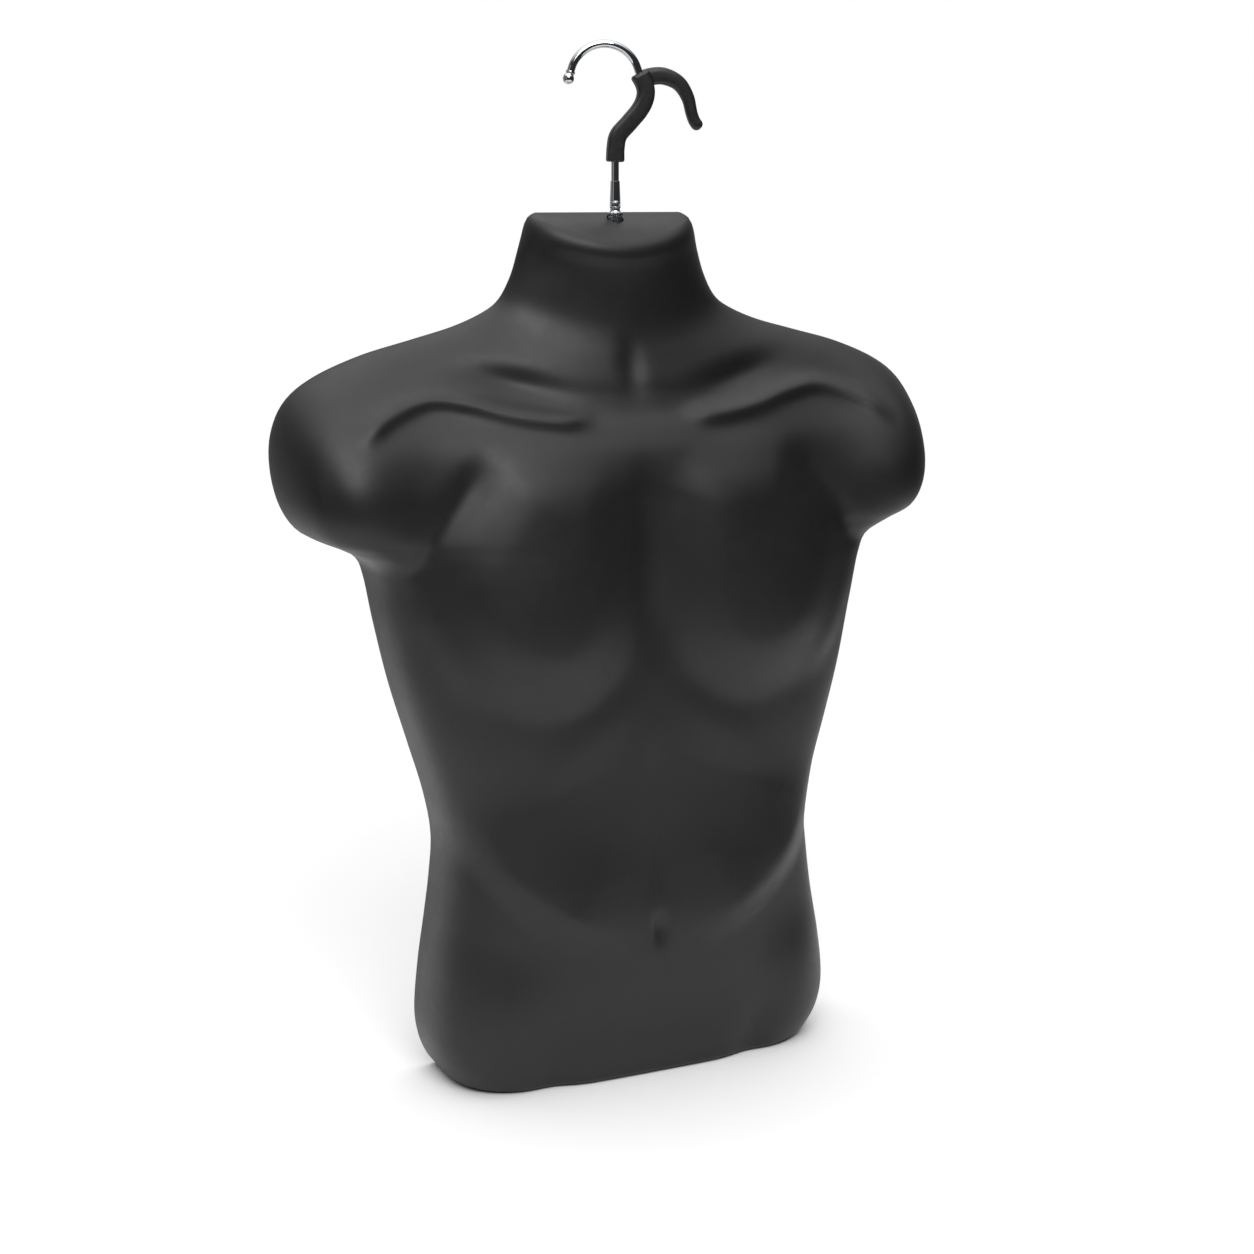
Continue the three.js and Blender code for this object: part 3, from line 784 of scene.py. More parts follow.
@dataclass(frozen=True)
class Plate:
    """A raised plate inside a closed clockwise path, such as a chest muscle."""

    path: tuple[Pair, ...]
    height: float
    outside: float  # how far out its edge starts to rise
    inside: float  # how far in it is at its full height
    groove: float
    groove_wide: float
    groove_low: float  # the groove has its full depth below this height
    groove_high: float  # and none above this one
    groove_out: float = 6.0  # how far outside the path its bottom runs

    def raise_by(self, x: np.ndarray, z: np.ndarray) -> np.ndarray:
        """Gives how far it lifts the skin.

        Args:
            x: places across.
            z: heights.

        Returns:
            The lift at each place, in millimetres.
        """
        distance, _ = nearest(self.path, x, z)
        into = -distance
        groove = -self.groove * np.exp(-(((into + self.groove_out) / self.groove_wide) ** 2))
        return self.height * smooth_step(-self.outside, self.inside, into) + groove * (
            1 - smooth_step(self.groove_low, self.groove_high, z)
        )


@dataclass
class Torso:
    """The moulded half torso: a thin shell with an open back, a neck cap and posts."""

    wall: float = 3.0
    hem_radius: float = 5.0
    stem_setback: float = 13.0
    cap_back_half: float = 56.0
    boss_radius: float = 8.4
    post_radius: float = 3.6
    rib: float = 2.4
    gap: float = 0.3
    bush_hole: float = 4.5
    seat_radius: float = 6.0
    seat_flare: float = 0.2  # how much wider the seat is at its mouth
    screw_hole: float = 1.6
    overrun: float = 5.0  # how far a cutter reaches past the cap
    rib_lift: float = 1.0  # how far the ribs' lower edges stand above the posts' ends
    cap_slope: float = 0.3  # share of the cap's fall that is straight
    relief_edge: float = 0.45  # the relief is whole where the section is this full
    lining_gap: float = 0.05  # least distance from the lining to the back plane
    hard_degrees: float = 60.0
    columns: int = 156
    floor_rows: int = 11
    hem_rows: int = 8
    hem_stations: float = 0.5  # share of the first section's step that the hem takes
    body_rows: int = 190
    cap_rows: int = 30
    sections: tuple[Section, ...] = (
        Section(0, 144, 0, 86, 3.8),  # hem
        Section(10, 151, 10, 87, 4.2),
        Section(26, 157, 26, 89, 4.6),
        Section(48, 159.5, 48, 91, 4.6),  # thigh
        Section(85, 156, 85, 94, 4.2),  # hip
        Section(120, 150.5, 120, 94, 4.0),  # navel
        Section(152, 146, 152, 90, 4.2),
        Section(182, 144, 182, 86, 4.4),  # waist
        Section(215, 149.5, 215, 84, 4.6),
        Section(255, 161, 255, 83, 4.6),
        Section(300, 174, 300, 81.5, 4.4),  # ribs
        Section(345, 184, 345, 80.5, 4.1),
        Section(378, 190.5, 379, 79.6, 3.8),  # chest
        Section(389, 197, 393, 79.2, 3.5),  # armpit
        Section(399, 216, 403.5, 78.8, 3.05),
        Section(410, 236, 413, 78.2, 2.75),
        Section(426, 248.5, 431, 77.2, 2.45),  # stump
        Section(446, 254.5, 456, 75, 2.2),
        Section(464, 253.5, 481, 70, 2.05),  # deltoid
        Section(479, 243.5, 503, 62, 1.9),
        Section(491, 223, 519, 54, 1.85),
        Section(502, 189, 533, 49.5, 1.8),  # shoulder
        Section(514, 151.5, 543, 46.5, 1.75),
        Section(528, 120, 551.5, 42, 1.7),  # trapezius
        Section(541, 97, 561, 38, 1.65),
        Section(555, 85, 570, 35.5, 1.65),  # neck
        Section(574, 76, 586, 35, 1.75),
        Section(590, 70.5, 603, 37, 1.75),
        Section(601, 67, 615, 39.5, 1.95),  # lip of the cap
        Section(608, 65, 622, 37.5, 2.0),
        Section(612, 62.5, 626.5, 33, 2.0),
    )
    anatomy: tuple[Mound | Ridge | Shelf | Plate, ...] = (
        Plate(
            ((18, 440), (34, 458), (62, 468), (92, 471), (114, 464), (140, 432), (160, 400),
             (164, 362), (150, 322), (120, 297), (86, 286), (54, 290), (28, 310), (14, 345),
             (12, 395), (18, 440)),
            height=9, outside=9, inside=44, groove=1.2, groove_wide=16, groove_low=330,
            groove_high=420,
        ),
        Mound(88, 342, 60, 68, 11),  # fullness of the chest
        Ridge(((30, 488), (62, 489), (96, 494), (126, 502), (154, 505), (186, 494), (212, 476)),
              5, 6.5, 0.15, 0.14),  # clavicle and front edge of the deltoid
        Mound(90, 513, 36, 11, -5.5, 13),  # hollow above the clavicle
        Mound(224, 440, 50, 64, 29),  # deltoid
        Ridge(((110, 468), (140, 434), (164, 400), (174, 380)), -4, 11, 0.25, 0.5),  # chest seam
        Ridge(((176, 396), (162, 352), (140, 312), (112, 286)), 3, 13, 0.35, 0.4),  # side muscle
        Ridge(((0, 476), (0, 300)), -3.5, 14, 0.35, 0.3),  # breastbone
        Mound(0, 522, 9, 18, -3),  # notch of the throat
        Ridge(((5, 300), (38, 276), (76, 236), (98, 204)), 1.5, 18, 0.4, 0.6),  # rib arch
        Ridge(((0, 270), (0, 130)), -1.4, 9, 0.3, 0.25),  # middle line of the belly
        Mound(0, 116, 5, 9.5, -4.5),  # navel
        Shelf(((16, 100), (68, 120), (108, 150), (136, 190), (148, 232)), 9, 13, 56, 0.3, 0.5),
        Mound(104, 106, 34, 34, -5),  # hollow inside the hip
        Ridge(((78, -6), (86, 30), (100, 70)), -4, 16, 0.01, 0.8),  # groin
        Mound(122, 60, 22, 46, 4),  # front of the hip
    )
    back_y: float = field(init=False)

    def __post_init__(self) -> None:
        """Reads the back plane from the frame."""
        self.back_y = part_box("torso_shell")[1].y / MM

    @property
    def height(self) -> float:
        """Height of the cap's back edge, from the frame."""
        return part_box("torso_shell")[1].z / MM

    def relief(self, x: np.ndarray, z: np.ndarray) -> np.ndarray:
        """Adds up the anatomy at places on one half of the front."""
        return sum(form.raise_by(x, z) for form in self.anatomy)

    def skin(self, station: np.ndarray, u: np.ndarray) -> np.ndarray:
        """Gives points of the front.

        Args:
            station: place among the sections, counted from the hem.
            u: place across, from -1 at one rim to 1 at the other.

        Returns:
            Across, depth forward of the back plane and height, in millimetres.
        """
        table = [(s.half, s.mid, s.rim, s.depth, s.square) for s in self.sections]
        half, mid, rim, depth, square = np.moveaxis(
            spline(table, station / (len(self.sections) - 1)), -1, 0
        )
        out = np.sin(np.abs(u) * math.pi / 2)
        across = half * out
        z = mid + (rim - mid) * out**2
        fullness = np.maximum(0, 1 - out**square) ** (1 / square)
        reach = depth * fullness + self.relief(across, z) * smooth_step(0, self.relief_edge, fullness)
        over = np.clip((self.hem_radius - z) / self.hem_radius, 0, 1)
        tuck = self.hem_radius * (1 - np.sqrt(1 - over**2))
        return np.stack(
            [np.sign(u) * (across - tuck * out), np.maximum(0, reach - tuck * fullness), z], -1
        )

    def cap_fall(self, forward: np.ndarray) -> np.ndarray:
        """Says how far the cap has fallen, as a share of its drop, on its way forward."""
        return self.cap_slope * forward + (1 - self.cap_slope) * forward**2

    def stations(self) -> np.ndarray:
        """Places the body's rows: close round the hem, and even along the outline above it.

        Returns:
            Places among the sections, counted from the hem.
        """
        bend = np.linspace(0, math.pi / 2, self.hem_rows + 1)[:-1]
        hem = (1 - np.cos(bend)) * self.hem_stations
        fine = np.linspace(self.hem_stations, len(self.sections) - 1, SAMPLES)
        table = [(s.half, s.rim, s.mid) for s in self.sections]
        track = spline(table, fine / (len(self.sections) - 1))
        step = np.abs(np.diff(track, axis=0)).max(1)
        length = np.concatenate([[0], np.cumsum(step)])
        even = np.interp(np.linspace(0, length[-1], self.body_rows), length, fine)
        return np.concatenate([hem, even])

    def sheet(self) -> np.ndarray:
        """Gives the whole skin: floor wall, front and neck cap, row by row.

        Returns:
            An array of rows by columns by x, depth and z, in millimetres.
        """
        u = np.linspace(-1, 1, self.columns + 1)
        rows = self.stations()
        front = self.skin(rows[:, None] + 0 * u, u + 0 * rows[:, None])
        floor_ways = np.linspace(0, 1, self.floor_rows + 1)[:-1]
        floor = [front[0] * (1, way, 0) for way in floor_ways]
        lip = front[-1]
        cap = []
        for forward in 1 - np.linspace(0, 1, self.cap_rows + 1)[1:]:
            back_x = lip[:, 0] * self.cap_back_half / lip[-1, 0]
            x = back_x + (lip[:, 0] - back_x) * forward
            z = self.height - (self.height - lip[:, 2]) * self.cap_fall(forward)
            cap.append(np.stack([x, lip[:, 1] * forward, z], -1))
        return np.concatenate([np.stack(floor), front, np.stack(cap)])

    def lining(self, sheet: np.ndarray) -> np.ndarray:
        """Moves the skin in by the wall, and keeps its rim on the back plane.

        Args:
            sheet: the skin, row by row.

        Returns:
            The inner side, row by row.
        """
        along = np.gradient(sheet, axis=1)
        up = np.gradient(sheet, axis=0)
        inward = np.cross(along, up)
        rim = np.zeros(sheet.shape[:2], bool)
        rim[[0, -1]] = True
        rim[:, [0, -1]] = True
        inward[rim, 1] = 0
        inward /= np.maximum(np.linalg.norm(inward, axis=-1, keepdims=True), 1e-9)
        inner = sheet + inward * self.wall
        inner[..., 1] = np.where(rim, 0, np.maximum(inner[..., 1], self.lining_gap))
        return inner

    def shell(self) -> bmesh.types.BMesh:
        """Makes the shell from two grids, bridged at the rim.

        Returns:
            The closed shell, with its back open.
        """
        outer = self.sheet()
        bm = bmesh.new()
        sides = []
        for sheet in (outer, self.lining(outer)):
            rows, columns = sheet.shape[:2]
            grid = bmesh.ops.create_grid(
                bm, x_segments=columns - 1, y_segments=rows - 1, size=0.5
            )["verts"]
            flat = np.array([v.co for v in grid]) + 0.5
            j = np.rint(flat[:, 0] * (columns - 1)).astype(int)
            i = np.rint(flat[:, 1] * (rows - 1)).astype(int)
            places = sheet[i, j] * (1, -1, 1) + (0, self.back_y, 0)
            for vertex, place in zip(grid, places * MM):
                vertex.co = place
            sides.append(grid)
        inner_faces = list({f for v in sides[1] for f in v.link_faces})
        bmesh.ops.reverse_faces(bm, faces=inner_faces)
        rim = [e for e in bm.edges if e.is_boundary]
        bmesh.ops.bridge_loops(bm, edges=rim)
        return bm

    def cap_z(self, depth: float) -> float:
        """Gives the height of the cap's skin on the midline at a depth from the back."""
        lip = self.skin(np.array(len(self.sections) - 1.0), np.array(0.0))
        return self.height - (self.height - lip[2]) * self.cap_fall(depth / lip[1])

    def posts(self, stem: Stack) -> bmesh.types.BMesh:
        """Makes the boss, posts and ribs under the cap that take the bush and the plate.

        Args:
            stem: the neck washer, which gives the stem's axis.

        Returns:
            One solid that ends inside the cap's wall.
        """
        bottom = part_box("neck_plate")[1].z / MM + self.gap
        top = self.cap_z(self.stem_setback + self.boss_radius) - self.wall / 2
        piece = finished("posts", cylinder(self.boss_radius, bottom, top, 0, stem.y))
        for node in SCREWS:
            at = Stack.of(node)
            top = self.cap_z(self.back_y - at.y + self.post_radius) - self.wall / 2
            combined(piece, cylinder(self.post_radius, bottom, top, at.x, at.y, 32), Cut.JOINED)
            if at.x < 0:
                foot = bottom + self.rib_lift
                size = Vector((2 * -at.x, self.rib, top - foot)) * MM
                middle = Vector((0, at.y, (foot + top) / 2)) * MM
                rib = bmesh.new()
                matrix = Matrix.Translation(middle) @ Matrix.Diagonal((*size, 1))
                bmesh.ops.create_cube(rib, size=1, matrix=matrix)
                combined(piece, rib, Cut.JOINED)
        return taken(piece)

    def holes(self, stem: Stack) -> bmesh.types.BMesh:
        """Makes the cutter for the washer's seat, the bush's hole and the screw holes.

        Args:
            stem: the neck washer, which gives the stem's axis.

        Returns:
            The cutters, as separate solids of one shape.
        """
        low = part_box("neck_plate")[0].z / MM
        seat, above = stem.bottom - self.gap, self.height + self.overrun
        bm = turned(
            [(ON_AXIS, low), (self.bush_hole, low), (self.bush_hole, seat),
             (self.seat_radius, seat), (self.seat_radius + self.seat_flare, above),
             (ON_AXIS, above)],
            stem.y,
        )
        for node in SCREWS:
            at = Stack.of(node)
            hole = cylinder(self.screw_hole, low, at.top + 1, at.x, at.y, 24)
            mesh = bpy.data.meshes.new("hole")
            hole.to_mesh(mesh)
            hole.free()
            bm.from_mesh(mesh)
        return bm

    def build(self) -> None:
        """Makes the shell with its seat, posts and holes, and dresses it."""
        shell = finished("torso_moulding", self.shell(), self.hard_degrees)
        stem = Stack.of("neck_washer")
        combined(shell, self.posts(stem), Cut.JOINED)
        combined(shell, self.holes(stem), Cut.AWAY)
        sharpen(shell, self.hard_degrees)
        dressed(shell, MouldedPlastic(), Body.FORM, "torso_shell")


# ---- the swivel ----------------------------------------------------------------------------


@dataclass
class Swivel:
    """The bush clamped in the neck cap, with its washers, nut, plate and screws."""

    bore: float = 3.05
    bush_radius: float = 4.2
    clearance: float = 0.3
    flange_thickness: float = 2.0
    flange_up: float = 26.25  # flange's underside above the bush's lower end
    waist_radius: float = 3.5
    brim_radius: float = 3.95
    waist_flare: float = 0.9  # how much wider the waist is where it leaves the flange
    waist_foot: float = 1.4
    brim_height: float = 0.8
    brim_slope: float = 0.5
    flange_ease: float = 0.75
    thread_pitch: float = 1.0
    thread_depth: float = 0.22
    thread_root: float = 0.1  # height of a root above its turn's start
    thread_runout: float = 0.6
    knurls: int = 26
    knurl_depth: float = 0.35
    knurl_reach: float = 0.4  # how far in from the outside the knurl moves the ring
    hole_radius: float = 1.6
    screw_shank: float = 1.3
    plate_corner: float = 3.0
    plate_ease: float = 0.25
    nut_chamfer: float = 0.9
    chamfer_slope: float = 0.6
    dome_overrun: float = 0.001  # keeps the chamfer's cutter off the nut's flat faces
    split_rise: float = 0.3  # how far the split washer's strip climbs
    split_degrees: float = 5.0  # half of its split
    split_steps: int = 60
    head_height: float = 1.8
    head_dome: float = 1.3
    screw_pitch: float = 0.8
    screw_depth: float = 0.3
    screw_point: float = 2.2
    recess: Point = (2.6, 0.6, 1.6)  # length, width and height of one arm of the cross

    def ring(self, node: str, finish: Finish, body: Body, edge: float = 0.25) -> None:
        """Makes a plain flat washer with its edges eased.

        Args:
            node: the frame's washer, which gives its place and outer size.
            finish: what it is made of.
            body: what it moves with.
            edge: size of the ease on its corners.
        """
        place = Stack.of(node)
        hole = self.bore if body is Body.HOOK else self.bush_radius + self.clearance
        outline = [(hole, place.bottom), (place.radius, place.bottom),
                   (place.radius, place.top), (hole, place.top)]
        bm = turned(rounded(outline, edge), place.y)
        dressed(finished(f"{node}_turned", bm), finish, body, node)

    def bush(self) -> None:
        """Makes the flanged bush: thread below, a round flange and a waisted neck above."""
        place = Stack.of("swivel_bush")
        flange = place.bottom + self.flange_up
        brow = flange + self.flange_thickness
        root = self.bush_radius - self.thread_depth
        outline: list[Pair] = [(self.bore, place.bottom)]
        for k in range(int((self.flange_up - self.thread_runout) / self.thread_pitch)):
            z = place.bottom + k * self.thread_pitch
            outline += [(root, z + self.thread_root),
                        (self.bush_radius, z + self.thread_pitch / 2)]
        outline += [(root, flange - self.thread_pitch / 2), (self.bush_radius, flange)]
        brim = place.top - self.brim_height
        steps = 5
        shoulder = rounded(
            [(self.bush_radius, flange), (place.radius, flange), (place.radius, brow),
             (self.waist_radius + self.waist_flare, brow),
             (self.waist_radius, brow + self.waist_foot),
             (self.waist_radius, brim - self.brim_slope), (self.brim_radius, brim),
             (self.brim_radius, place.top), (self.bore, place.top)],
            self.flange_ease, steps,
        )
        outline += shoulder[steps + 1 :]  # the thread already holds the first corner
        bm = turned(outline, place.y, 72)
        dressed(finished("swivel_bush_turned", bm), ChromePlate(), Body.FORM, "swivel_bush")

    def collar(self) -> None:
        """Makes the knurled ring under the flange."""
        place = Stack.of("collar_ring")
        hole = self.bush_radius + self.clearance
        outline = rounded(
            [(hole, place.bottom), (place.radius, place.bottom), (place.radius, place.top),
             (hole, place.top)], 0.35,
        )
        bm = turned(outline, place.y, self.knurls * 6)
        for vertex in bm.verts:
            away = Vector((vertex.co.x, vertex.co.y - place.y * MM))
            if away.length > (place.radius - self.knurl_reach) * MM:
                turn = math.atan2(away.y, away.x) * self.knurls
                cut = self.knurl_depth * MM * max(0.0, math.cos(turn)) ** 2
                scale = 1 - cut / away.length
                vertex.co.x *= scale
                vertex.co.y = place.y * MM + away.y * scale
        dressed(finished("collar_ring_knurled", bm), ChromePlate(), Body.FORM, "collar_ring")

    def nut(self, node: str, hole: float, body: Body) -> None:
        """Makes a hexagon nut with chamfered corners.

        Args:
            node: the frame's nut.
            hole: radius of its thread.
            body: what it moves with.
        """
        low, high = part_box(node)
        middle = Vector((0, Stack.of("swivel_bush").y * MM, (low.z + high.z) / 2))
        corner = max(high.x - low.x, high.y - low.y) / 2
        thick = high.z - low.z
        bm = bmesh.new()
        bmesh.ops.create_cone(
            bm, cap_ends=True, segments=6, radius1=corner, radius2=corner, depth=thick,
            matrix=Matrix.Translation(middle) @ Matrix.Rotation(math.radians(30), 4, "Z"),
        )
        piece = finished(f"{node}_hexagon", bm)
        r, z0, z1, c = corner / MM, low.z / MM, high.z / MM, self.nut_chamfer
        below, above = z0 - self.dome_overrun, z1 + self.dome_overrun
        rise = c * self.chamfer_slope
        dome = [(ON_AXIS, below), (r - c, below), (r, z0 + rise), (r, z1 - rise),
                (r - c, above), (ON_AXIS, above)]
        combined(piece, turned(dome, middle.y / MM), Cut.COMMON)
        combined(piece, cylinder(hole, z0 - 1, z1 + 1, 0, middle.y / MM), Cut.AWAY)
        sharpen(piece, 20)
        dressed(piece, ZincPlate(), body, node)

    def spring_washer(self) -> None:
        """Makes the split lock washer: one strip that climbs as it goes round."""
        place = Stack.of("lock_washer")
        hole = self.bush_radius + self.clearance
        top = place.top - self.split_rise
        outline = rounded(
            [(hole, place.bottom), (place.radius, place.bottom), (place.radius, top),
             (hole, top)], 0.2, 2,
        )
        bm = bmesh.new()
        middle = (0, place.y * MM, 0)
        corners = [bm.verts.new((r * MM, place.y * MM, z * MM)) for r, z in outline]
        face = bm.faces.new(corners)
        start = math.radians(self.split_degrees)
        bmesh.ops.rotate(bm, verts=bm.verts[:], cent=middle, matrix=Matrix.Rotation(start, 3, "Z"))
        bmesh.ops.spin(
            bm, geom=[face], cent=middle, axis=(0, 0, 1), angle=2 * math.pi - 2 * start,
            steps=self.split_steps, dvec=(0, 0, self.split_rise * MM / self.split_steps),
        )
        bmesh.ops.remove_doubles(bm, verts=bm.verts[:], dist=1e-7)
        bmesh.ops.recalc_face_normals(bm, faces=bm.faces[:])
        dressed(finished("lock_washer_split", bm), ZincPlate(), Body.FORM, "lock_washer")

    def plate(self) -> None:
        """Makes the pressed plate that spreads the bush's load under the cap."""
        low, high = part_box("neck_plate")
        bm = bmesh.new()
        size = high - low
        bmesh.ops.create_cube(
            bm, size=1,
            matrix=Matrix.Translation((low + high) / 2) @ Matrix.Diagonal((*size, 1)),
        )
        upright = [e for e in bm.edges if abs(e.verts[0].co.z - e.verts[1].co.z) > size.z / 2]
        bmesh.ops.bevel(
            bm, geom=upright, offset=self.plate_corner * MM, segments=6, profile=0.5,
            affect="EDGES", material=-1,
        )
        rims = [e for e in bm.edges if abs(e.verts[0].co.z - e.verts[1].co.z) < 1e-7]
        bmesh.ops.bevel(
            bm, geom=rims, offset=self.plate_ease * MM, segments=2, profile=0.5,
            affect="EDGES", material=-1,
        )
        piece = finished("neck_plate_pressed", bm)
        stem = Stack.of("swivel_bush")
        below, above = low.z / MM - 1, high.z / MM + 1
        bush_hole = self.bush_radius + self.clearance
        combined(piece, cylinder(bush_hole, below, above, 0, stem.y), Cut.AWAY)
        for node in SCREWS:
            at = Stack.of(node)
            combined(piece, cylinder(self.hole_radius, below, above, at.x, at.y, 24), Cut.AWAY)
        sharpen(piece, 30)
        dressed(piece, ZincPlate(), Body.FORM, "neck_plate")

    def screw(self, node: str) -> None:
        """Makes a pan-head screw with a cross recess and a threaded shank.

        Args:
            node: the frame's screw.
        """
        place = Stack.of(node)
        head_top = place.bottom + self.head_height
        edge = head_top - (self.head_height - self.head_dome)
        shank, depth = self.screw_shank, self.screw_depth
        outline = [(ON_AXIS, place.bottom)]
        for turn in (math.radians(15 * k) for k in range(1, 7)):
            outline.append(
                (place.radius * math.sin(turn), edge - self.head_dome * math.cos(turn))
            )
        outline += [(place.radius, head_top), (shank, head_top)]
        z = head_top
        while z < place.top - self.screw_point:
            outline += [(shank, z + depth), (shank - depth, z + 2 * depth)]
            z += self.screw_pitch
        outline += [(shank, z + self.screw_pitch / 2), (ON_AXIS, place.top)]
        bm = turned(outline, 0, 24)
        bmesh.ops.translate(bm, verts=bm.verts[:], vec=(place.x * MM, place.y * MM, 0))
        piece = finished(f"{node}_pan_head", bm)
        long, wide, deep = self.recess
        for size in ((long, wide, deep), (wide, long, deep)):
            arm = bmesh.new()
            bmesh.ops.create_cube(
                arm, size=MM,
                matrix=Matrix.Translation(Vector((place.x, place.y, place.bottom + 0.2)) * MM)
                @ Matrix.Diagonal((*size, 1)),
            )
            combined(piece, arm, Cut.AWAY)
        sharpen(piece, 30)
        dressed(piece, ZincPlate(), Body.FORM, node)

    def build(self) -> None:
        """Makes every piece of the swivel."""
        self.bush()
        self.collar()
        self.ring("neck_washer", WasherRubber(), Body.FORM, 0.35)
        self.ring("clamp_washer", ZincPlate(), Body.FORM)
        self.ring("upper_thrust_washer", WasherRubber(), Body.HOOK)
        self.ring("lower_thrust_washer", WasherRubber(), Body.HOOK)
        self.spring_washer()
        self.nut("clamp_nut", self.bush_radius + self.clearance, Body.FORM)
        self.nut("stem_nut", self.bore, Body.HOOK)
        self.plate()
        for node in SCREWS:
            self.screw(node)


# ---- the hook ------------------------------------------------------------------------------


@dataclass
class Hook:
    """The chrome wire hook, its tip and ferrule, and the sleeve with its side arm.

    It is drawn in its own upright plane, across from the stem and up from the seat, and
    then swivelled to its place.
    """

    turn_degrees: float = -12.0
    wire_radius: float = 2.75
    arc_radius: float = 25.5
    arc_across: float = -7.3
    arc_up: float = 55.5  # above the foot of the bend
    arc_start: float = 14.0  # degrees
    arc_end: float = 170.0  # degrees
    grip_end: float = 13.0  # degrees
    stem_length: float = 43.0
    stem_tail: float = 1.5  # of the wire below its nut
    bend: tuple[Pair, ...] = (
        (0, 0), (0.4, 10), (2.4, 18.5), (10, 27), (17.4, 35.5), (21.4, 43), (22, 51),
    )
    arm: tuple[Pair, ...] = (
        (17, 56), (26, 59), (36, 59.3), (46.5, 54.5), (53, 45), (56, 34), (58.5, 28), (62.5, 23.5),
    )
    ball_radius: float = 4.0
    grip_width: float = 12.2
    grip_thickness: float = 10.4
    arm_thickness: float = 8.4
    arm_tip_width: float = 8.2
    seam: float = 0.15  # half the gap between the sleeve's halves
    channel_play: float = 0.1  # room round the wire in the sleeve
    arm_play: float = 0.25  # room between the side arm and the front half
    seat_gap: float = 0.3  # from the neck washer's foot down to its seat
    collar_radius: float = 3.35  # the small collar behind the ball
    collar_neck: float = 2.85
    pole_angle: float = 0.001  # how far short of the axis the ball's outline stops, in radians
    around: int = 40
    grip_points: int = 90
    stem_y: float = field(init=False)
    foot: float = field(init=False)

    def __post_init__(self) -> None:
        """Reads the stem's axis and the foot of the bend from the frame."""
        self.stem_y = Stack.of("swivel_bush").y
        self.foot = Stack.of("neck_washer").bottom - self.seat_gap + self.stem_length

    def placed(self, bm: bmesh.types.BMesh) -> bmesh.types.BMesh:
        """Swivels a shape from the hook's own plane to its place on the stem.

        Args:
            bm: the shape, which is moved.

        Returns:
            The same shape.
        """
        turn = Matrix.Rotation(math.radians(self.turn_degrees), 4, "Z")
        to_stem = Matrix.Translation((0, self.stem_y * MM, 0))
        bmesh.ops.transform(bm, matrix=to_stem @ turn, verts=bm.verts[:])
        return bm

    def arc_point(self, degrees: float) -> tuple[float, float]:
        """Gives a point of the hook's arc.

        Args:
            degrees: the turn from straight across.

        Returns:
            The point, across and up from the foot.
        """
        angle = math.radians(degrees)
        return (
            self.arc_across + self.arc_radius * math.cos(angle),
            self.arc_up + self.arc_radius * math.sin(angle),
        )

    def track(self, points: Profile, count: int) -> np.ndarray:
        """Reads an even run of points on a smooth curve in the hook's plane.

        Args:
            points: the curve's points, across and up from the foot.
            count: how many points to read.

        Returns:
            The points, across and up, in millimetres.
        """
        rough = spline([(x, z + self.foot) for x, z in points], np.linspace(0, 1, SAMPLES))
        length = np.concatenate([[0], np.cumsum(np.hypot(*np.diff(rough, axis=0).T))])
        even = np.linspace(0, length[-1], count)
        return np.stack([np.interp(even, length, rough[:, k]) for k in (0, 1)], -1)

    def bar(
        self, track: np.ndarray, half_width: np.ndarray, half_depth: float, middle_y: float,
        squareness: float, start_round: float, end_round: float,
    ) -> bmesh.types.BMesh:
        """Sweeps a rounded section along a track in the hook's plane.

        Args:
            track: the middle line, evenly spaced.
            half_width: half of the width at each point of the track.
            half_depth: half of the thickness, front to back.
            middle_y: how far behind the stem the middle line lies.
            squareness: 2 for a round section, more for a boxy one.
            start_round: radius of the edge round the first end.
            end_round: radius of the edge round the last end.

        Returns:
            The closed bar.
        """
        step = float(np.hypot(*(track[1] - track[0])))
        last = len(track) - 1
        quarter = np.linspace(0, math.pi / 2, 7)
        # Each row has its place on the track, its inset and its share of the end's face.
        rows = [(0.0, start_round, share) for share in (0.0, 0.5)]
        rows += [(start_round * (1 - math.cos(a)) / step, start_round * (1 - math.sin(a)), 1.0)
                 for a in quarter]
        first, final = rows[-1][0], last - end_round / step
        rows += [(place, 0.0, 1.0) for place in np.linspace(first, final, last)[1:-1]]
        rows += [(last - end_round * (1 - math.cos(a)) / step, end_round * (1 - math.sin(a)), 1.0)
                 for a in quarter[::-1]]
        rows += [(float(last), end_round, share) for share in (0.5, 0.0)]
        place, inset, share = np.array(rows).T
        marks = range(last + 1)
        centre = np.stack([np.interp(place, marks, track[:, k]) for k in (0, 1)], -1)
        slope = np.gradient(track, axis=0)
        run = np.stack([np.interp(place, marks, slope[:, k]) for k in (0, 1)], -1)
        run /= np.linalg.norm(run, axis=1, keepdims=True)
        half = np.interp(place, marks, half_width)

        def point(turn: np.ndarray, way: np.ndarray) -> np.ndarray:
            """Gives points of the bar's skin.

            Args:
                turn: the turn round the track, from 0 to 1.
                way: the way along its rows, from 0 to 1.

            Returns:
                The points, in metres.
            """
            row = np.rint(way * (len(rows) - 1)).astype(int)
            c, s = np.cos(turn * 2 * math.pi), np.sin(turn * 2 * math.pi)
            power = 2 / squareness
            a = np.sign(c) * np.abs(c) ** power * (half - inset)[row] * share[row]
            b = np.sign(s) * np.abs(s) ** power * (half_depth - inset)[row] * share[row]
            x = centre[row, 0] - run[row, 1] * a
            z = centre[row, 1] + run[row, 0] * a
            return np.stack([x, middle_y + b, z], -1) * MM

        return lofted(point, self.around, len(rows) - 1)

